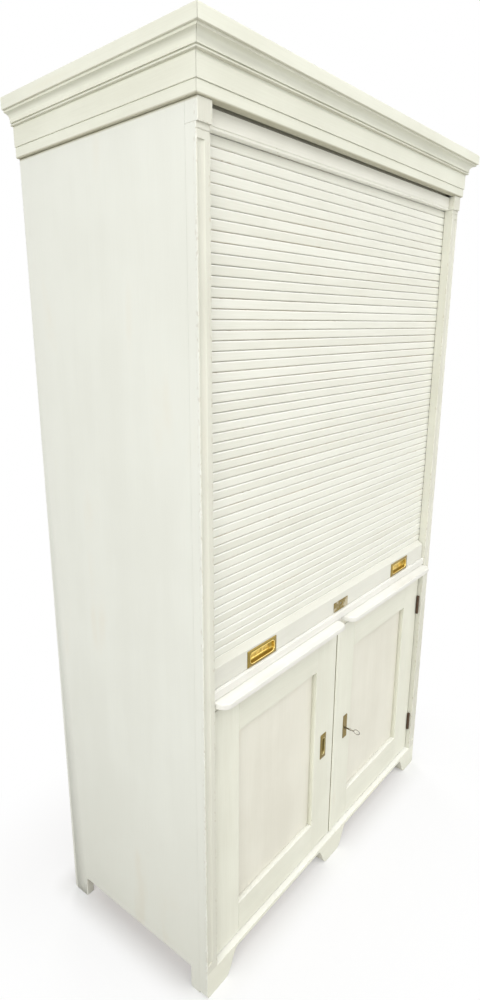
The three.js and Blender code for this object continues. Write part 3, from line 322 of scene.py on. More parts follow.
class StudioSettings(PropertyGroup):
    """Camera, lamps and floor."""

    camera_place: FloatVectorProperty(
        name="Camera place", description="Where the camera stands",
        subtype="TRANSLATION", unit="LENGTH", size=3, default=(-1.4981, -0.9978, 1.5449))
    heading: FloatProperty(
        name="Heading", description="Turn of the camera from straight back towards the right",
        subtype="ANGLE", default=math.radians(46.54))
    tilt: FloatProperty(
        name="Tilt", description="Angle of the camera below the horizon",
        subtype="ANGLE", default=math.radians(14.928))
    roll: FloatProperty(
        name="Roll", description="Turn of the camera about its own view",
        subtype="ANGLE", default=math.radians(-1.569))
    focal_length: FloatProperty(
        name="Focal length", description="Focal length for a 36 mm sensor",
        subtype="DISTANCE_CAMERA", default=22.783, min=1.0)
    shift_x: FloatProperty(
        name="Shift X", description="Sideways shift of the lens", default=0.07165)
    shift_y: FloatProperty(
        name="Shift Y", description="Upward shift of the lens", default=0.01046)
    sky_level: FloatProperty(
        name="Sky level", description="Even light from all round", default=0.30, min=0.0)
    front_power: FloatProperty(
        name="Front power", description="Power of the soft lamp at the front right",
        subtype="POWER", default=33.0, min=0.0)
    side_power: FloatProperty(
        name="Side power", description="Power of the soft lamp at the left",
        subtype="POWER", default=92.0, min=0.0)
    ceiling_power: FloatProperty(
        name="Ceiling power", description="Power of the wide lamp high in front",
        subtype="POWER", default=165.0, min=0.0)
    rear_power: FloatProperty(
        name="Rear power", description="Power of the soft lamp behind on the right",
        subtype="POWER", default=110.0, min=0.0)
    top_power: FloatProperty(
        name="Top power", description="Power of the lamp straight above the front",
        subtype="POWER", default=38.0, min=0.0)
    sky_colour: FloatVectorProperty(
        name="Sky", description="Colour of the even light",
        subtype="COLOR", size=3, min=0.0, max=1.0, default=(1.0, 0.995, 0.98))
    lamp_colour: FloatVectorProperty(
        name="Lamps", description="Colour of the lamps' light",
        subtype="COLOR", size=3, min=0.0, max=1.0, default=(1.0, 0.985, 0.955))
    floor_glow: FloatProperty(
        name="Floor glow", description="Share of plain white that the camera sees beside the feet",
        subtype="FACTOR", default=0.30, min=0.0, max=1.0)
    floor_fade: FloatProperty(
        name="Floor fade", description="How far from the cabinet the floor has turned nearly white",
        unit="LENGTH", default=0.08, min=0.01)
    seen_floor_colour: FloatVectorProperty(
        name="Seen floor", description="Colour of the floor to the camera, outside its white share",
        subtype="COLOR", size=3, min=0.0, max=1.0, default=(0.85, 0.86, 0.87))
    floor_colour: FloatVectorProperty(
        name="Floor", description="Colour of the floor as it reflects light on the cabinet",
        subtype="COLOR", size=3, min=0.0, max=1.0, default=(0.66, 0.655, 0.64))


class Socket:
    """A value that changes over a surface. Python's own operators on it add Math nodes."""

    def __init__(self, recipe, output):
        self.recipe = recipe
        self.output = output

    def math(self, operation, *others):
        return self.recipe.node("ShaderNodeMath", {"operation": operation}, [self, *others])

    def after(self, operation, other):
        """The operation with the other value first."""
        return self.recipe.node("ShaderNodeMath", {"operation": operation}, [other, self])

    def __add__(self, other):
        return self.math("ADD", other)

    def __sub__(self, other):
        return self.math("SUBTRACT", other)

    def __rsub__(self, other):
        return self.after("SUBTRACT", other)

    def __mul__(self, other):
        return self.math("MULTIPLY", other)

    def __truediv__(self, other):
        return self.math("DIVIDE", other)

    def __rtruediv__(self, other):
        return self.after("DIVIDE", other)

    def __pow__(self, other):
        return self.math("POWER", other)

    def __rpow__(self, other):
        return self.after("POWER", other)

    __radd__ = __add__
    __rmul__ = __mul__

    def between(self, low, high):
        """0 below low, 1 above high, and smooth between them; turned round if low is above high."""
        return self.recipe.node(
            "ShaderNodeMapRange", {"interpolation_type": "SMOOTHSTEP"}, [self, low, high, 0.0, 1.0])

    def least(self, other):
        """The smaller of the two."""
        return self.math("MINIMUM", other)

    def most(self, other):
        """The greater of the two."""
        return self.math("MAXIMUM", other)

    def size(self):
        return self.math("ABSOLUTE")

    def whole(self):
        """The whole number below."""
        return self.math("FLOOR")

    def wrapped(self):
        """What is above the whole number."""
        return self.math("FRACT")


def opaque(colour):
    """A colour as a node's socket takes it. One that is a socket stays as it is."""
    return colour if isinstance(colour, Socket) else (*colour[:3], 1.0)


def toned(colour, shares):
    """The colour made lighter or darker by a share for each of its parts."""
    return [min(1.0, part * share) for part, share in zip(colour, shares)]


class Recipe:
    """A material or a world being mixed from nodes."""

    def __init__(self, name, kind="materials"):
        self.owner = getattr(bpy.data, kind).new(name)
        self.owner.use_nodes = True
        self.tree = self.owner.node_tree
        self.tree.nodes.clear()

    def node(self, kind, settings=None, inputs=(), output=0):
        """Makes a node: its settings first, then the values or links of its sockets."""
        made = self.tree.nodes.new(kind)
        for key, value in (settings or {}).items():
            setattr(made, key, value)
        pairs = inputs.items() if isinstance(inputs, dict) else enumerate(inputs)
        for key, value in pairs:
            if isinstance(value, Socket):
                self.tree.links.new(value.output, made.inputs[key])
            else:
                made.inputs[key].default_value = value
        return Socket(self, made.outputs[output]) if made.outputs else None

    def place(self):
        return self.node("ShaderNodeTexCoord", output="Object")

    def drawn_place(self, name):
        return self.node("ShaderNodeUVMap", {"uv_map": name})

    def stretched(self, place, amounts):
        return self.node("ShaderNodeVectorMath", {"operation": "MULTIPLY"}, [place, amounts])

    def moved(self, place, shift):
        return self.node("ShaderNodeVectorMath", {"operation": "ADD"}, [place, shift])

    def parts(self, place):
        split = self.node("ShaderNodeSeparateXYZ", inputs=[place])
        return [Socket(self, part) for part in split.output.node.outputs]

    def point(self, *parts):
        return self.node("ShaderNodeCombineXYZ", inputs=parts)

    def noise(self, place, scale=1.0, detail=2.0, roughness=0.5):
        return self.node(
            "ShaderNodeTexNoise", {"noise_dimensions": "3D"},
            {"Vector": place, "Scale": scale, "Detail": detail, "Roughness": roughness})

    def grain(self, place, along, lengthwise, across, **settings):
        """Noise drawn out along x, y or z; it changes this fast along the grain and across it."""
        amounts = [lengthwise if axis == along else across for axis in "xyz"]
        return self.noise(self.stretched(place, amounts), **settings)

    def chance(self, number):
        """A value from 0 to 1 that each whole number has as its own."""
        return self.node("ShaderNodeTexWhiteNoise", {"noise_dimensions": "1D"}, {"W": number})

    def mix(self, factor, first, second):
        """From the first to the second colour; these are the Mix node's colour sockets."""
        return self.node(
            "ShaderNodeMix", {"data_type": "RGBA"},
            {0: factor, 6: opaque(first), 7: opaque(second)}, output=2)

    def bump(self, height, strength, distance):
        return self.node(
            "ShaderNodeBump", inputs={"Height": height, "Strength": strength, "Distance": distance})

    def background_rays(self):
        """1 on the camera's rays and on those that mirrors and glass send on, and 0 on others."""
        rays = self.node("ShaderNodeLightPath", output="Is Camera Ray")
        for other in ("Is Glossy Ray", "Is Transmission Ray"):
            rays = rays.most(self.node("ShaderNodeLightPath", output=other))
        return rays

    def finished(self, shader, kind="ShaderNodeOutputMaterial"):
        self.node(kind, inputs={"Surface": shader})
        return self.owner

    def surface(self, colour, roughness, normal, metallic=0.0, specular=0.5):
        return self.finished(self.node("ShaderNodeBsdfPrincipled", inputs={
            "Base Color": opaque(colour), "Roughness": roughness, "Normal": normal,
            "Metallic": metallic, "Specular IOR Level": specular}))


def brushed_paint(name, colour, paint, along, worn=False, soil=(), arrises=(), variety=1.0):
    """Chalk paint put on with a brush along the grain. A worn one is chipped down to the wood, and
    its rubbed patches are lightened, as wear and as a painted highlight. Each line of darkening is
    a height, how far it reaches, and how thick it lies; it is grime together with painted shade.
    Each of the arrises is an upright edge's distance from the middle, its depth, and the weights of
    filler and of chips. The variety says how far the tone wanders from the colour."""
    recipe = Recipe(name)
    place = recipe.place()
    strokes = recipe.grain(place, along, 9.0, 420.0, detail=3.0, roughness=0.6)
    clouds = recipe.noise(place, scale=4.5, detail=3.0, roughness=0.55)
    drifts = recipe.grain(place, along, 2.0, 16.0)
    speckle = recipe.noise(place, scale=170.0, roughness=0.6)
    light = toned(colour, [1.0 + 0.035 * variety] * 3)
    dark = toned(colour, [1.0 - loss * variety for loss in (0.055, 0.06, 0.075)])
    cover = (strokes * 0.22 + clouds * 0.4 + drifts * 0.38).between(0.36, 0.64)
    bleed = drifts.between(0.56, 0.75) * clouds.between(0.48, 0.7)
    tone = recipe.mix(bleed * 0.16, recipe.mix(cover, dark, light), paint.stain_colour)
    if worn:
        runs = recipe.noise(place, scale=13.0, detail=3.0, roughness=0.65)
        chips = speckle.between(0.62, 0.68) * runs.between(0.55, 0.64)
        # Rubbed patches on the worn arrises are lightened: wear, and a painted highlight on the
        # rounded edges
        tone = recipe.mix(runs.between(0.4, 0.6) * 0.5, tone, paint.rubbed_and_highlit_colour)
        tone = recipe.mix(chips, tone, paint.chip_colour)
    # Darkening about given heights: grime, and painted shade in quirks, under overhangs and towards
    # the foot
    if soil:
        up = recipe.parts(place)[2]
        grime_and_shade = sum(
            (up - level).size().between(reach, 0.0) * weight for level, reach, weight in soil)
        tone = recipe.mix((grime_and_shade * (drifts * 0.8 + 0.6)).least(0.9), tone, paint.grime_and_shade_colour)
    if arrises:
        sideways, depth, _ = recipe.parts(place)
        knocks = recipe.grain(place, "z", 38.0, 110.0).between(0.60, 0.67)
        dents = recipe.grain(place, "z", 90.0, 210.0, detail=1.0).between(0.58, 0.65)
        for out, front, filler, chipping in arrises:
            gap = ((sideways.size() - out) ** 2.0 + (depth - front) ** 2.0) ** 0.5
            near = gap.between(9.0 * MM, 2.5 * MM)
            tone = recipe.mix(near * knocks * filler, tone, paint.highlight_and_filler_colour)
            tone = recipe.mix(near * dents * chipping, tone, paint.chip_colour)
    return recipe.surface(
        colour=tone, roughness=strokes * 0.14 + 0.5, specular=0.34,
        normal=recipe.bump(strokes * 0.7 + speckle * 0.25, 0.16, 0.35 * MM))


def slat_paint(name, paint, pitch, shade_and_dust_from):
    """The slats, drawn flat: across is metres along a slat and up is metres along the curtain.
    Above the height given they stay inside the cornice and are darkened, as dust and as painted
    shade in the slot under the cornice."""
    recipe = Recipe(name)
    across, up, _ = recipe.parts(recipe.drawn_place("curtain"))
    slats = up / pitch
    row, inside = slats.whole(), slats.wrapped()
    # Far apart in the noise, so that no slat goes on with its neighbour's pattern
    lane = recipe.point(across, row * 7.31, up)
    strokes = recipe.noise(recipe.stretched(lane, (10.0, 1.0, 420.0)), detail=3.0, roughness=0.6)
    clouds = recipe.noise(recipe.stretched(lane, (4.0, 1.0, 3.0)), detail=3.0)
    patches = recipe.noise(recipe.stretched(lane, (2.6, 1.0, 1.0)), detail=3.0, roughness=0.6)
    rubs = recipe.noise(recipe.stretched(lane, (60.0, 1.0, 60.0))).between(0.62, 0.7)
    edge = (inside - 0.5).size().between(0.38, 0.49)
    light = toned(paint.slat_colour, (1.03, 1.03, 1.03))
    dark = toned(paint.slat_colour, (0.925, 0.92, 0.895))
    cover = (strokes * 0.4 + clouds * 0.4 + recipe.chance(row) * 0.2).between(0.3, 0.7)
    tone = recipe.mix(cover, dark, light)
    # Painted highlight along the top edge of each slat, where light from above catches its rounding
    tone = recipe.mix(inside.between(0.78, 0.9) * 0.85, tone, paint.highlight_and_filler_colour)
    tone = recipe.mix(patches.between(0.5, 0.66) * edge * 0.35, tone, paint.stain_colour)
    tone = recipe.mix(rubs * edge * patches.between(0.46, 0.6) * 0.55, tone, paint.chip_colour)
    # Darker above the header: dust, and painted shade in the slot under the cornice
    dusty_and_shaded = up.between(shade_and_dust_from, shade_and_dust_from + 3.0 * MM)
    tone = recipe.mix(dusty_and_shaded * 0.55, tone, paint.grime_and_shade_colour)
    return recipe.surface(
        colour=tone, roughness=strokes * 0.14 + 0.5, specular=0.34,
        normal=recipe.bump(strokes, 0.15, 0.3 * MM))


def bare_softwood(name, paint, along):
    """Wide boards glued up from planks, each with growth rings along its grain and fine pores."""
    recipe = Recipe(name)
    place = recipe.place()
    planks = recipe.parts(place)[1 if along == "x" else 0] / paint.plank_width
    own = recipe.chance(planks.whole())
    seams = (planks.wrapped() - 0.5).size().between(0.485, 0.495)
    # Each plank is cut from another place in the wood
    wood = recipe.moved(place, recipe.point(own * 7.3, own * 5.1, own * 3.7))
    bend = recipe.grain(wood, along, 0.5, 4.5, detail=1.0)
    rings = ((bend * 21.0).wrapped() - 0.5).size().between(0.12, 0.5)
    fibres = recipe.grain(wood, along, 5.0, 420.0, detail=3.0, roughness=0.6)
    broad = recipe.grain(wood, along, 0.2, 3.0)
    pale = toned(paint.wood_colour, (1.2, 1.2, 1.2))
    deep = toned(paint.wood_colour, (0.72, 0.66, 0.58))
    tone = recipe.mix(rings * 0.35 + fibres * 0.25 + own * 0.25, pale, deep)
    tone = recipe.mix(broad.between(0.4, 0.65) * 0.15, tone, deep)
    tone = recipe.mix(seams * 0.6, tone, paint.grime_and_shade_colour)
    return recipe.surface(
        colour=tone, roughness=fibres * 0.15 + 0.56, specular=0.3,
        normal=recipe.bump(fibres * 0.5 + rings * 0.3, 0.2, 0.3 * MM))


def linen_cloth(name, paint):
    """Coarse cloth glued behind the slats."""
    recipe = Recipe(name)
    across, _, up = recipe.parts(recipe.place())
    threads = 5600.0
    warp, weft = ((way * threads).math("SINE") * 0.5 + 0.5 for way in (across, up))
    weave = warp * weft
    dark = toned(paint.linen_colour, (0.7, 0.7, 0.7))
    return recipe.surface(
        colour=recipe.mix(weave, dark, paint.linen_colour), roughness=0.92, specular=0.15,
        normal=recipe.bump(weave, 0.3, 0.3 * MM))


def old_brass(name, metal, dulled, colour=None, blotched=False):
    """Brass that was polished once. A shape's own polish, from 0 to 1, says where hands keep it
    bright and where a highlight is painted on, unless it is blotched all over."""
    recipe = Recipe(name)
    place = recipe.place()
    polish = recipe.node("ShaderNodeAttribute", {"attribute_name": "polish"}, output="Fac")
    clouds = recipe.noise(place, scale=60.0, detail=4.0, roughness=0.6)
    rubs = recipe.grain(place, "x", 140.0, 900.0)
    if blotched:
        bright = (clouds - 0.5 * dulled).between(0.0, 0.14) * 0.78
    else:
        bright = (polish * 0.85 + clouds * 0.5 + rubs * 0.2 - 0.35 * dulled).between(0.15, 1.15)
    tone = recipe.mix(bright, metal.tarnish_colour, colour or metal.brass_colour)
    # Brightest brass: worn bright by hands, and a painted highlight
    tone = recipe.mix(bright.between(0.8, 1.0), tone, metal.highlight_colour)
    return recipe.surface(
        colour=tone, metallic=0.9, roughness=rubs * 0.12 + 0.26 + 0.1 * dulled,
        normal=recipe.bump(clouds + rubs * 0.3, 0.15, 0.2 * MM))


def dull_metal(name, colour, spot_colour, roughness):
    """Iron or steel with spots of oxide."""
    recipe = Recipe(name)
    place = recipe.place()
    pits = recipe.noise(place, scale=260.0, detail=4.0, roughness=0.65)
    clouds = recipe.noise(place, scale=60.0, detail=3.0)
    spots = (pits * 0.6 + clouds * 0.4).between(0.5, 0.62)
    return recipe.surface(
        colour=recipe.mix(spots * 0.7, colour, spot_colour),
        metallic=1.0 - spots * 0.6, roughness=spots * 0.25 + roughness,
        normal=recipe.bump(pits, 0.2, 0.25 * MM))


def finished_piece(name, shape, finishes, body, stands_for=(), smooth=35.0):
    """Turns a bmesh into an object at the origin that rides on a body."""
    mesh = bpy.data.meshes.new(name)
    shape.to_mesh(mesh)
    shape.free()
    for finish in finishes:
        mesh.materials.append(finish)
    mesh.shade_smooth()
    mesh.set_sharp_from_angle(angle=math.radians(smooth))
    piece = bpy.data.objects.new(name, mesh)
    bpy.context.scene.collection.objects.link(piece)
    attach(piece, body)
    if stands_for:
        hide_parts(*stands_for)
    return piece


def give_finish(node, finish):
    """Puts a material on a node of the frame that keeps its own shape."""
    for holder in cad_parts[node].material_slots:
        holder.material = finish


def merged_copy(node):
    """The node's own shape as a bmesh with its triangles joined into flat faces."""
    shape = bmesh.new()
    shape.from_mesh(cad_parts[node].data)
    bmesh.ops.remove_doubles(shape, verts=shape.verts, dist=WELD)
    bmesh.ops.dissolve_limit(
        shape, angle_limit=math.radians(FLAT_DEGREES), verts=shape.verts, edges=shape.edges)
    return shape


def each_once(groups):
    """What the groups hold, each item once and in order."""
    return list(dict.fromkeys(item for group in groups for item in group))


def add_block(shape, centre, size):
    """Adds a rectangular block to the shape and gives its edges."""
    made = bmesh.ops.create_cube(
        shape, size=1.0, matrix=Matrix.Translation(centre) @ Matrix.Diagonal((*size, 1.0)))
    return each_once(vertex.link_edges for vertex in made["verts"])


def faces_of(node):
    """A tree that finds the nearest of the node's faces."""
    shape = merged_copy(node)
    tree = BVHTree.FromBMesh(shape)
    shape.free()
    return tree


def butts(edge, neighbours):
    """Whether the edge lies against another board from near its start to near its end."""
    start, end = (vertex.co for vertex in edge.verts)
    places = [start.lerp(end, share) for share in (0.08, 0.5, 0.92)]
    return any(
        all(board.find_nearest(place, BUTT_GAP)[0] is not None for place in places)
        for board in neighbours)


def wear_arrises(shape, radius, finish_index=WORN, least_angle=38.0, neighbours=(), kept=None):
    """Rounds the outer edges as years of handling do. The strips take the finish given.
    Edges whose ends both lie within the depths kept, such as those of grooves, stay sharp."""
    edges = [
        edge for edge in shape.edges
        if len(edge.link_faces) == 2 and edge.is_convex
        and edge.calc_face_angle(0.0) > math.radians(least_angle)
        and edge.calc_length() > radius * SHORTEST_EDGE
        and not (kept and all(kept[0] < vertex.co.y < kept[1] for vertex in edge.verts))
        and not butts(edge, neighbours)]
    if edges:
        bmesh.ops.bevel(
            shape, geom=edges, offset=radius, offset_type="OFFSET", segments=2, profile=0.5,
            affect="EDGES", material=finish_index, clamp_overlap=False)


def even_normals(piece):
    """Keeps flat faces flat beside the rounded arrises."""
    weighted = piece.modifiers.new("Even normals", "WEIGHTED_NORMAL")
    weighted.keep_sharp = True
    weighted.weight = 80


def ring_of(count, place):
    """Points of a closed loop; place gives each from its direction round the loop."""
    turns = [(index + 0.5) * math.tau / count for index in range(count)]
    return [place(math.cos(turn), math.sin(turn)) for turn in turns]


def lofted(shape, outlines):
    """Extrudes a face from outline to outline, closed at both ends, and gives the vertices that
    lie on each outline."""
    face = shape.faces.new([shape.verts.new(point) for point in outlines[0]])
    foot = list(face.edges)
    loops = [list(face.verts)]
    for outline in outlines[1:]:
        face, = bmesh.ops.extrude_discrete_faces(shape, faces=[face])["faces"]
        for vertex, point in zip(face.verts, outline):
            vertex.co = point
        loops.append(list(face.verts))
    bmesh.ops.edgeloop_fill(shape, edges=foot)
    bmesh.ops.recalc_face_normals(shape, faces=shape.faces)
    return loops


def rounded_oblong(half_width, half_height, corner, depth, centre, count):
    """Places a loop on an upright rectangle that faces the front, with all its vertices in the
    round corners."""
    step = 1.0 / (count // 4)

    def place(across, up):
        quarters = math.atan2(up, across) % math.tau / (math.pi / 2)
        whole = math.floor(quarters)
        turn = (whole + (quarters - whole - step / 2) / (1.0 - step)) * math.pi / 2
        x = math.copysign(half_width - corner, across) + corner * math.cos(turn)
        z = math.copysign(half_height - corner, up) + corner * math.sin(turn)
        return (centre[0] + x, depth, centre[1] + z)
    return place


def slotted_screw(shape, centre, depth, radius, turn):
    """A countersunk screw head that faces the front, with its slot cut across."""
    thickness, slot_depth, half_slot = 0.9 * MM, 0.5 * MM, radius * 0.16
    made = bmesh.ops.create_cone(
        shape, cap_ends=True, segments=20, radius1=radius, radius2=radius * 0.93, depth=thickness)
    vertices = made["verts"]
    faces = each_once(vertex.link_faces for vertex in vertices)
    geometry = [*faces, *each_once(face.edges for face in faces), *vertices]
    for side in (-1, 1):
        cut = bmesh.ops.bisect_plane(
            shape, geom=geometry, dist=CUT_DISTANCE,
            plane_co=(0.0, side * half_slot, 0.0), plane_no=(0.0, side, 0.0))
        geometry = [item for item in each_once((cut["geom"], geometry)) if item.is_valid]
    faces = [item for item in geometry if isinstance(item, bmesh.types.BMFace)]
    slot = [
        face for face in faces
        if face.normal.z > SQUARE and abs(face.calc_center_median().y) < half_slot * 0.5]
    lowered = bmesh.ops.extrude_face_region(shape, geom=slot)
    moved = [item for item in lowered["geom"] if isinstance(item, bmesh.types.BMVert)]
    bmesh.ops.translate(shape, verts=moved, vec=(0.0, 0.0, -slot_depth))
    bmesh.ops.delete(shape, geom=[face for face in slot if face.is_valid], context="FACES_ONLY")
    whole = each_once([*(face.verts for face in faces if face.is_valid), moved])
    stand = (
        Matrix.Translation((centre[0], depth, centre[1]))
        @ Matrix.Rotation(turn, 4, "Y") @ Matrix.Rotation(math.pi / 2, 4, "X"))
    bmesh.ops.transform(shape, matrix=stand, verts=whole)


def curve(first, pull, last, steps):
    """Points of a bend from first to last, without the first, drawn towards pull on the way."""
    return [
        tuple(
            a * (1 - share) ** 2 + 2 * b * share * (1 - share) + c * share ** 2
            for a, b, c in zip(first, pull, last))
        for share in (step / steps for step in range(1, steps + 1))]


class CABINET_OT_studio(Operator):
    """Set up the floor, the soft lamps and the camera at the photograph's viewing angle"""

    bl_idname = "cabinet.studio"
    bl_label = "Set Up the Studio"

    def execute(self, context):
        studio = context.scene.cabinet_studio
        self.light_world(context.scene, studio)
        self.lay_floor(context.scene, studio)
        self.hang_lamps(context.scene, studio)
        self.place_camera(context.scene, studio)
        context.scene.view_settings.view_transform = "Standard"
        return {"FINISHED"}

    def light_world(self, scene, studio):
        """Even light all round, and plain white where the background shows."""
        recipe = Recipe("Studio", "worlds")
        lighting = recipe.node("ShaderNodeBackground", inputs={
            "Color": opaque(studio.sky_colour), "Strength": studio.sky_level})
        white = recipe.node("ShaderNodeBackground", inputs={"Color": WHITE})
        whole = recipe.node(
            "ShaderNodeMixShader", inputs=[recipe.background_rays(), lighting, white])
        scene.world = recipe.finished(whole, "ShaderNodeOutputWorld")

    def lay_floor(self, scene, studio):
        """A wide floor that keeps the cabinet's shadow and turns white away from it."""
        half_width = 9.0
        shape = bmesh.new()
        bmesh.ops.create_grid(shape, x_segments=1, y_segments=1, size=half_width)
        mesh = bpy.data.meshes.new("floor")
        shape.to_mesh(mesh)
        shape.free()
        floor = bpy.data.objects.new("floor", mesh)
        scene.collection.objects.link(floor)
        recipe = Recipe("pale floor")
        reflecting, seen = (
            recipe.node("ShaderNodeBsdfDiffuse", inputs={"Color": opaque(colour)})
            for colour in (studio.floor_colour, studio.seen_floor_colour))
        white = recipe.node("ShaderNodeEmission", inputs={"Color": WHITE, "Strength": 1.0})
        seen = recipe.node(
            "ShaderNodeMixShader", inputs=[self.white_share(recipe, studio), seen, white])
        whole = recipe.node(
            "ShaderNodeMixShader", inputs=[recipe.background_rays(), reflecting, seen])
        mesh.materials.append(recipe.finished(whole))

    def white_share(self, recipe, studio):
        """How white the floor is, which grows with the distance from the carcass."""
        share_at_fade, all_white_from = 0.8, 0.5
        across, back, _ = recipe.parts(recipe.place())
        low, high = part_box("side_panel_left")[0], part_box("side_panel_right")[1]
        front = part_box("pilaster_left")[0][1]
        beyond = [
            ((value - (near + far) / 2).size() - (far - near) / 2).most(0.0) ** 2.0
            for value, near, far in ((across, low[0], high[0]), (back, front, high[1]))]
        away = sum(beyond) ** 0.5
        near_share = away.between(0.0, studio.floor_fade) * (share_at_fade - studio.floor_glow)
        far_share = away.between(studio.floor_fade, all_white_from) * (1.0 - share_at_fade)
        return near_share + far_share + studio.floor_glow

    def hang_lamps(self, scene, studio):
        """Each has a name, a power, its width and height, its place, and where it points."""
        lamps = (
            ("front lamp", studio.front_power, (2.6, 2.0), (2.3, -3.4, 1.1), (0.1, -0.2, 0.6)),
            ("side lamp", studio.side_power, (2.4, 2.4), (-3.85, -1.2, 2.4), (-0.6, 0.0, 1.1)),
            ("top lamp", studio.top_power, (2.2, 1.2), (0.0, -1.4, 6.0), (0.0, -0.9, 0.0)),
            ("rear lamp", studio.rear_power, (2.4, 2.0), (3.0, 3.6, 2.8), (0.2, 0.2, 1.0)),
            ("ceiling lamp", studio.ceiling_power, (5.0, 3.5), (-0.3, -4.0, 5.5), (0.0, -0.2, 1.0)),
        )
        for name, power, spread, place, target in lamps:
            data = bpy.data.lights.new(name, "AREA")
            data.shape = "RECTANGLE"
            data.size, data.size_y = spread
            data.energy = power
            data.color = studio.lamp_colour
            lamp = bpy.data.objects.new(name, data)
            lamp.location = place
            towards = Vector(target) - Vector(place)
            lamp.rotation_euler = towards.to_track_quat("-Z", "Y").to_euler()
            scene.collection.objects.link(lamp)

    def place_camera(self, scene, studio):
        data = bpy.data.cameras.new("camera")
        data.lens = studio.focal_length
        data.sensor_width = 36.0
        data.shift_x = studio.shift_x
        data.shift_y = studio.shift_y
        data.clip_end = 60.0
        camera = bpy.data.objects.new("camera", data)
        scene.collection.objects.link(camera)
        camera.matrix_world = (
            Matrix.Translation(studio.camera_place)
            @ Matrix.Rotation(-studio.heading, 4, "Z")
            @ Matrix.Rotation(math.pi / 2 - studio.tilt, 4, "X")
            @ Matrix.Rotation(studio.roll, 4, "Z"))
        scene.camera = camera


def part_at_pilasters(shape):
    """Divides the base rail where the pilasters begin, so that its top wears only between them."""
    for node, corner in (("pilaster_left", 1), ("pilaster_right", 0)):
        bmesh.ops.bisect_plane(
            shape, geom=[*shape.verts, *shape.edges, *shape.faces], dist=CUT_DISTANCE,
            plane_co=(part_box(node)[corner][0], 0.0, 0.0), plane_no=(1.0, 0.0, 0.0))


class CABINET_OT_painted_boards(Operator):
    """Round the arrises of the painted boards and give them brushed, worn paint"""

    bl_idname = "cabinet.painted_boards"
    bl_label = "Paint the Boards"

    def execute(self, context):
        paint = context.scene.cabinet_paint
        finishes = self.mix_finishes(paint)
        # Up-facing ledges get this lighter paint: a painted highlight where light from above falls
        # on them
        ledge = brushed_paint("clean ledge paint", paint.highlight_and_filler_colour, paint, "x")
        # Darker paint for the doors' meeting edges: grime, and painted shade in the gap between the
        # doors
        grimy_and_shaded = brushed_paint("soiled paint of the door edges", paint.grime_and_shade_colour, paint, "z")
        boards = {node: faces_of(node) for node in (*LET_IN_FITTINGS, *PAINTED_BOARDS)}
        half_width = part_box("side_panel_right")[1][0]
        half_opening = -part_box("pilaster_left")[1][0]
        low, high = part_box("left_door_hinge_stile")
        door_depths = (low[1] + 1.0 * MM, high[1] - 1.0 * MM)
        for node, (body, tint, along, radius) in PAINTED_BOARDS.items():
            shape = merged_copy(node)
            if node == "base_rail":
                part_at_pilasters(shape)
            if radius:
                wear_arrises(
                    shape, radius * MM,
                    neighbours=[board for name, board in boards.items() if name != node],
                    kept=door_depths if "door" in body else None)
            self.choose_faces(shape, half_width, half_opening)
            piece = finished_piece(
                f"painted_{node}", shape,
                [*finishes[tint, along], ledge, finishes["side", "z"][PLAIN], grimy_and_shaded],
                body, (node,))
            even_normals(piece)
        return {"FINISHED"}

    def mix_finishes(self, paint):
        """The plain and the worn paint for each tint and grain. The sides are the calmest; they
        darken under the cornice, as grime and painted shade, and towards the foot as painted shade.
        The front corners are knocked."""
        cornice_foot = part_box("cornice_left")[0][2]
        outer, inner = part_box("pilaster_left")
        corners = ((-outer[0], outer[1], 0.4, 0.22), (-inner[0], outer[1], 0.0, 0.3))
        # Under the cornice: grime and painted shade; from the floor up: painted shade that fades
        # higher up
        side_shade_and_grime = ((cornice_foot, 6.0 * MM, 0.85), (0.0, 0.7, 0.13))
        finishes = {}
        for _, tint, along, _ in PAINTED_BOARDS.values():
            if (tint, along) in finishes:
                continue
            finishes[tint, along] = [
                brushed_paint(
                    f"{wear}{tint} paint along {along}",
                    getattr(paint, f"{tint}_colour"), paint, along, worn=bool(wear),
                    soil=side_shade_and_grime if tint == "side" else (),
                    arrises=corners if tint in ("side", "pilaster") else (),
                    variety=0.5 if tint == "side" else 1.0)
                for wear in ("", "worn ")]
        return finishes

    def choose_faces(self, shape, half_width, half_opening):
        """Ledges between the pilasters that face up get a lighter paint as a painted highlight,
        what lies in the cabinet's side has the side's paint, and the doors' meeting edges are
        darkened as grime and painted shade."""
        for face in shape.faces:
            off_middle = abs(face.calc_center_median().x)
            if abs(face.normal.x) > SQUARE:
                if off_middle < MEETING_EDGE:
                    face.material_index = GRIMY_AND_SHADED
                elif off_middle > half_width - SIDE_PLANE:
                    face.material_index = SIDE
            # Faces that look up take the painted highlight of the ledges
            elif face.normal.z > SQUARE and face.material_index == PLAIN:
                if off_middle < half_opening:
                    face.material_index = LIT_LEDGE


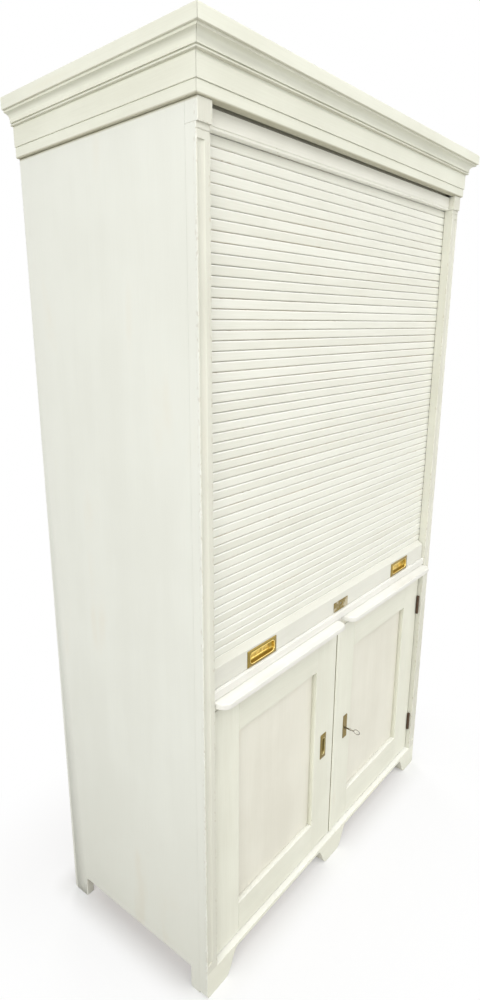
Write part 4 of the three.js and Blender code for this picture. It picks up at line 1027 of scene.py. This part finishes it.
class CABINET_OT_cornice(Operator):
    """Run the cornice moulding round the front and the sides, with mitres at the corners"""

    bl_idname = "cabinet.cornice"
    bl_label = "Run the Cornice"

    def execute(self, context):
        paint = context.scene.cabinet_paint
        sizes = context.scene.cabinet_cornice
        low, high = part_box("cornice_front")
        section = self.section(sizes, high[2] - low[2])
        # Dark lines at the cornice's foot, its quirks, the bead and the cove's top: painted shade
        # under the overhangs, with some grime
        soil = [(low[2] + rise, reach * MM, weight) for rise, reach, weight in (
            (0.0, 4.5, 0.62),
            (sizes.band_top, 1.6, 0.14),
            (sizes.bead_bottom, 1.8, 0.35),
            (sizes.bead_top + 1.0 * MM, 1.6, 0.35),
            (sizes.cove_top, 4.0, 0.2),
            (sizes.fillet_top, 1.6, 0.3))]
        for node, along in (("cornice_front", "x"), ("cornice_left", "y"), ("cornice_right", "y")):
            finish = brushed_paint(
                f"{node} paint", paint.cornice_colour, paint, along, soil=soil)
            shape = bmesh.new()
            lofted(shape, [
                [self.place(node, end, point, sizes) for point in section] for end in (0, 1)])
            piece = finished_piece(
                f"moulded_{node}", shape, [finish], "carcass", (node,), smooth=24.0)
            even_normals(piece)
        return {"FINISHED"}

    def section(self, sizes, total):
        """Points of the section from the foot of its back upwards: how far out, and how high."""
        edge, quirk_depth = 0.9 * MM, 2.8 * MM
        foot, chin, brow = 3.0 * MM, 1.5 * MM, 4.0 * MM
        band, bead, cove, fascia = sizes.band_out, sizes.bead_out, sizes.cove_out, sizes.fascia_out
        half_bead = (sizes.bead_top - sizes.bead_bottom) / 2
        bead_middle = sizes.bead_bottom + half_bead
        return [
            (-sizes.back, 0.0),
            (band - foot, 0.0), *curve((band - foot, 0.0), (band, 0.0), (band, foot), 4),
            (band, sizes.band_top - edge), (band - edge, sizes.band_top - edge),
            (band - edge, sizes.band_top), (sizes.frieze_out, sizes.band_top),
            (sizes.frieze_out, sizes.bead_bottom), (bead - half_bead, sizes.bead_bottom),
            *curve((bead - half_bead, sizes.bead_bottom), (bead, sizes.bead_bottom),
                   (bead, bead_middle), 3),
            *curve((bead, bead_middle), (bead, sizes.bead_top),
                   (bead - half_bead, sizes.bead_top), 3),
            (bead - quirk_depth, sizes.bead_top), (bead - quirk_depth, sizes.cove_bottom),
            (bead + edge, sizes.cove_bottom),
            *curve((bead + edge, sizes.cove_bottom), (bead - 2.0 * MM, sizes.cove_top - 3.0 * MM),
                   (cove, sizes.cove_top), 12),
            (sizes.fillet_out, sizes.cove_top), (sizes.fillet_out, sizes.fillet_top),
            (fascia - chin, sizes.fillet_top),
            *curve((fascia - chin, sizes.fillet_top), (fascia, sizes.fillet_top),
                   (fascia, sizes.fillet_top + chin), 3),
            (fascia, total - brow),
            *curve((fascia, total - brow), (fascia, total), (fascia - brow, total), 4),
            (-sizes.back, total)]

    def place(self, node, end, point, sizes):
        """Where a point of the section lies at the first or the last end of a length."""
        low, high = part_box("cornice_front")
        out, rise = point
        half_width = high[0] - sizes.fascia_out + out
        front = low[1] + sizes.fascia_out - out
        up = low[2] + rise
        if node == "cornice_front":
            return ((2 * end - 1) * (half_width - sizes.mitre_gap), front, up)
        side = -1 if node == "cornice_left" else 1
        return (side * half_width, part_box(node)[1][1] if end else front + sizes.mitre_gap, up)


class CABINET_OT_inner_boards(Operator):
    """Give the boards inside and behind their bare softwood"""

    bl_idname = "cabinet.inner_boards"
    bl_label = "Finish the Inside"

    def execute(self, context):
        paint = context.scene.cabinet_paint
        woods = {along: bare_softwood(f"bare wood along {along}", paint, along) for along in "xyz"}
        for node, along in BARE_BOARDS.items():
            give_finish(node, woods[along])
        return {"FINISHED"}


class CABINET_OT_slats(Operator):
    """Lay the rounded slats of the tambour on their linen"""

    bl_idname = "cabinet.slats"
    bl_label = "Lay the Slats"

    def execute(self, context):
        tambour = context.scene.cabinet_tambour
        paint = context.scene.cabinet_paint
        header_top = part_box("header_board")[1][2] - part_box("tambour_slats_lower")[0][2]
        finishes = [
            slat_paint("slat paint", paint, tambour.pitch, header_top - 3.0 * MM),
            linen_cloth("linen", paint)]
        self.curtain("tambour_slats_lower", tambour, finishes, "tambour")
        upper = self.curtain("tambour_slats_upper", tambour, finishes, "carcass")
        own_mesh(upper)
        finished_piece(
            "painted_slats_at_bend", merged_copy("tambour_slats_tail"),
            [brushed_paint("slat paint at the bend", paint.slat_colour, paint, "x")],
            "carcass", ("tambour_slats_tail",))
        return {"FINISHED"}

    def curtain(self, node, tambour, finishes, body):
        """One run of slats with rounded fronts, and the linen behind it."""
        low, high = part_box(node)
        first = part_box("tambour_slats_lower")[0][2]
        count = round((high[2] - low[2]) / tambour.pitch)
        shape = bmesh.new()
        for index in range(count):
            bottom = low[2] + index * tambour.pitch
            size = (high[0] - low[0], tambour.thickness, tambour.pitch - tambour.gap)
            edges = add_block(
                shape, (0.0, low[1] + tambour.thickness / 2, bottom + size[2] / 2), size)
            front = [
                edge for edge in edges
                if all(abs(vertex.co.y - low[1]) < SAME_PLACE for vertex in edge.verts)
                and abs(edge.verts[0].co.z - edge.verts[1].co.z) < SAME_PLACE]
            bmesh.ops.bevel(
                shape, geom=front, offset=tambour.rounding, offset_type="OFFSET", segments=4,
                profile=0.5, affect="EDGES", material=-1, clamp_overlap=False)
        slat_faces = set(shape.faces)
        width = high[0] - low[0] - tambour.linen_margin * 2
        add_block(
            shape, (0.0, high[1] - tambour.linen_thickness / 2, (low[2] + high[2]) / 2),
            (width, tambour.linen_thickness, high[2] - low[2]))
        drawn = shape.loops.layers.uv.new("curtain")
        for face in shape.faces:
            face.material_index = 0 if face in slat_faces else 1
            for loop in face.loops:
                loop[drawn].uv = (loop.vert.co.x, loop.vert.co.z - first + tambour.gap / 2)
        piece = finished_piece(
            f"rounded_{node}", shape, finishes, body, (node,), smooth=40.0)
        even_normals(piece)
        return piece


class CABINET_OT_pulls(Operator):
    """Press the flush pulls of the tambour and of the left door from brass"""

    bl_idname = "cabinet.pulls"
    bl_label = "Fit the Flush Pulls"

    def execute(self, context):
        metal = context.scene.cabinet_metal
        polished = old_brass("polished brass", metal, 0.25)
        dull = old_brass("dull brass of the door pull", metal, 1.0, metal.door_pull_colour)
        for node, body, cup_width, cup_height, corner, brass in (
                ("tambour_pull_left", "tambour", 96.0, 26.0, 9.0, polished),
                ("tambour_pull_right", "tambour", 96.0, 26.0, 9.0, polished),
                ("left_door_pull", "left_door", 14.0, 52.0, 6.0, dull)):
            self.flush_pull(node, body, cup_width * MM, cup_height * MM, corner * MM, brass)
        return {"FINISHED"}

    def flush_pull(self, node, body, cup_width, cup_height, corner, brass):
        """A thin plate with a raised rim round a pressed cup, held by two screws."""
        low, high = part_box(node)
        centre = ((low[0] + high[0]) / 2, (low[2] + high[2]) / 2)
        plate = ((high[0] - low[0]) / 2, (high[2] - low[2]) / 2, 1.5 * MM)
        cup = (cup_width / 2, cup_height / 2, corner)
        front, cup_back = low[1], high[1]
        floor = cup_back - 1.3 * MM
        count, least_corner = 32, 0.4 * MM
        # From the cup's floor out over the rim and the plate's edge to the back: an outline, how
        # many millimetres inside it the loop lies, the loop's depth, and its polish from 0 to 1.
        # The raised rim's full polish is worn brass together with a painted highlight.
        rings = (
            (cup, 5.4, floor, 0.8), (cup, 3.6, floor - 0.3 * MM, 0.85),
            (cup, 1.9, floor - 1.3 * MM, 0.5), (cup, 0.7, floor - 3.0 * MM, 0.45),
            (cup, 0.1, floor - 5.2 * MM, 0.5), (cup, 0.0, front, 0.7),
            (cup, -0.4, front - 0.7 * MM, 1.0), (cup, -1.1, front - 1.0 * MM, 1.0),
            (cup, -1.8, front - 0.7 * MM, 0.6), (cup, -2.2, front, 0.1),
            (plate, 0.8, front, 0.12), (plate, 0.2, front + 0.3 * MM, 0.6),
            (plate, 0.0, front + 0.7 * MM, 0.2), (plate, 0.0, front + 1.5 * MM, 0.0),
            (cup, -1.3, front + 1.5 * MM, 0.0), (cup, -1.3, cup_back - 1.0 * MM, 0.0),
            (cup, -0.3, cup_back, 0.0))
        outlines = []
        for outline, inset, depth, _ in rings:
            half_width, half_height, rounding = (part - inset * MM for part in outline)
            outlines.append(ring_of(count, rounded_oblong(
                half_width, half_height, max(rounding, least_corner), depth, centre, count)))
        shape = bmesh.new()
        polish = shape.verts.layers.float.new("polish")
        for loop, (*_, shine) in zip(lofted(shape, outlines), rings):
            for vertex in loop:
                vertex[polish] = shine
        if cup_height > cup_width:
            along = (0.0, plate[1] - 6.0 * MM)
        else:
            along = (plate[0] - 4.6 * MM, 0.0)
        for side, turn in ((-1, 0.5), (1, 1.9)):
            slotted_screw(
                shape, (centre[0] + side * along[0], centre[1] + side * along[1]),
                front + 0.3 * MM, 2.3 * MM, turn)
        finished_piece(f"pressed_{node}", shape, [brass], body, (node,))


class CABINET_OT_lock_plates(Operator):
    """Fit the brass lock plates with their screws"""

    bl_idname = "cabinet.lock_plates"
    bl_label = "Fit the Lock Plates"

    def execute(self, context):
        metal = context.scene.cabinet_metal
        dulled = old_brass("worn plating", metal, 0.9, metal.plating_colour, blotched=True)
        polished = old_brass("handled brass", metal, 0.45)
        plates = (
            ("tambour_lock_plate", "tambour", dulled, ((-0.031, 0.0), (0.031, 0.0))),
            ("right_door_escutcheon", "right_door", polished, ((0.0, -0.031), (0.0, 0.031))),
        )
        for node, body, brass, places in plates:
            low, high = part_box(node)
            centre = ((low[0] + high[0]) / 2, (low[2] + high[2]) / 2)
            shape = merged_copy(node)
            wear_arrises(shape, 0.35 * MM, finish_index=0, least_angle=60.0)
            for index, (x, z) in enumerate(places):
                slotted_screw(
                    shape, (centre[0] + x, centre[1] + z), low[1] + 0.25 * MM, 2.4 * MM,
                    0.4 + 1.3 * index)
            finished_piece(f"bevelled_{node}", shape, [brass], body, (node,))
        return {"FINISHED"}


class CABINET_OT_ironwork(Operator):
    """Give the hinges, the bolts and the lock case their dark and grey metal"""

    bl_idname = "cabinet.ironwork"
    bl_label = "Finish the Ironwork"

    def execute(self, context):
        metal = context.scene.cabinet_metal
        iron = dull_metal("oxidised iron", metal.iron_colour, metal.rust_colour, 0.42)
        steel = dull_metal("worn steel", metal.steel_colour, metal.spot_colour, 0.3)
        paint = context.scene.cabinet_paint
        coat = brushed_paint("frame paint on leaves", paint.frame_colour, paint, "z")
        for node, body in HINGE_LEAVES.items():
            shape = merged_copy(node)
            wear_arrises(shape, 0.3 * MM, finish_index=0, least_angle=60.0)
            for face in shape.faces:
                centre = face.calc_center_median()
                off_pin = math.hypot(
                    abs(centre.x) - metal.hinge_axis[0], centre.y - metal.hinge_axis[1])
                face.material_index = 0 if off_pin < metal.barrel_radius else 1
            finished_piece(
                f"rolled_{node}", shape, [iron, coat], body, (node,), smooth=40.0)
        for node in STEEL_BARS:
            give_finish(node, steel)
        give_finish("right_door_lock_case", iron)
        self.key(context.scene.cabinet_key, steel)
        return {"FINISHED"}

    def key(self, settings, steel):
        """An oval ring on a turned shaft with a collar, and a bit that points down."""
        low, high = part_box("key")
        x = (low[0] + high[0]) / 2
        z = high[2] - settings.bow_height / 2
        bow = settings.bow_length / 2
        bow_centre = low[1] + bow
        wire_centre = Vector((x, low[1] + settings.wire / 2, z))
        shape = bmesh.new()
        profile = bmesh.ops.create_circle(
            shape, cap_ends=False, segments=12, radius=settings.wire / 2,
            matrix=Matrix.Translation(wire_centre))
        edges = each_once(vertex.link_edges for vertex in profile["verts"])
        bmesh.ops.spin(
            shape, geom=profile["verts"] + edges, cent=(x, bow_centre, z), axis=(1.0, 0.0, 0.0),
            angle=math.tau, steps=40, use_merge=True)
        bmesh.ops.scale(
            shape, vec=(1.0, 1.0, settings.bow_height / settings.bow_length),
            space=Matrix.Translation((-x, -bow_centre, -z)), verts=shape.verts)
        neck = bow_centre + bow
        outlines = [
            ring_of(16, lambda across, up, y=y, radius=radius * MM: (
                x + across * radius, y, z + up * radius))
            for y, radius in (
                (neck - 1.9 * MM, 1.0), (neck - 0.4 * MM, 2.2), (neck + 1.4 * MM, 2.5),
                (neck + 2.6 * MM, 1.9), (neck + 8.0 * MM, 2.1), (neck + 9.0 * MM, 3.1),
                (neck + 10.6 * MM, 3.1), (neck + 11.6 * MM, 2.4), (high[1] - 0.6 * MM, 2.4),
                (high[1], 1.8))]
        lofted(shape, outlines)
        bit = add_block(
            shape, (x, high[1] - 4.2 * MM, z - 5.4 * MM), (2.2 * MM, 7.0 * MM, 7.2 * MM))
        bmesh.ops.bevel(
            shape, geom=bit, offset=0.3 * MM, offset_type="OFFSET", segments=2, profile=0.5,
            affect="EDGES", material=-1, clamp_overlap=False)
        bmesh.ops.recalc_face_normals(shape, faces=shape.faces)
        finished_piece("turned_key", shape, [steel], "door_key", ("key",), smooth=50.0)


class CABINET_PT_sidebar(Panel):
    """Lists the steps and the sizes of the cabinet"""

    bl_idname = "CABINET_PT_sidebar"
    bl_label = "Tambour Cabinet"
    bl_space_type = "VIEW_3D"
    bl_region_type = "UI"
    bl_category = "Cabinet"

    def draw(self, context):
        layout = self.layout
        for operator in OPERATORS:
            layout.operator(operator.bl_idname)
        for name, group in SETTINGS.items():
            settings = getattr(context.scene, name)
            box = layout.box()
            for key in group.__annotations__:
                box.prop(settings, key)


SETTINGS = {
    "cabinet_paint": PaintSettings,
    "cabinet_metal": MetalSettings,
    "cabinet_tambour": TambourSettings,
    "cabinet_cornice": CorniceSettings,
    "cabinet_key": KeySettings,
    "cabinet_studio": StudioSettings,
}
OPERATORS = (
    CABINET_OT_studio,
    CABINET_OT_painted_boards,
    CABINET_OT_cornice,
    CABINET_OT_inner_boards,
    CABINET_OT_slats,
    CABINET_OT_pulls,
    CABINET_OT_lock_plates,
    CABINET_OT_ironwork,
)


def register():
    for group in SETTINGS.values():
        bpy.utils.register_class(group)
    for name, group in SETTINGS.items():
        setattr(bpy.types.Scene, name, PointerProperty(type=group))
    for operator in OPERATORS:
        bpy.utils.register_class(operator)
    bpy.utils.register_class(CABINET_PT_sidebar)


def unregister():
    bpy.utils.unregister_class(CABINET_PT_sidebar)
    for operator in reversed(OPERATORS):
        bpy.utils.unregister_class(operator)
    for name in SETTINGS:
        delattr(bpy.types.Scene, name)
    for group in reversed(SETTINGS.values()):
        bpy.utils.unregister_class(group)


def main():
    register()
    bpy.ops.cabinet.studio()
    bpy.ops.cabinet.painted_boards()
    bpy.ops.cabinet.cornice()
    bpy.ops.cabinet.inner_boards()
    bpy.ops.cabinet.slats()
    bpy.ops.cabinet.pulls()
    bpy.ops.cabinet.lock_plates()
    bpy.ops.cabinet.ironwork()


if __name__ == "__main__":
    main()
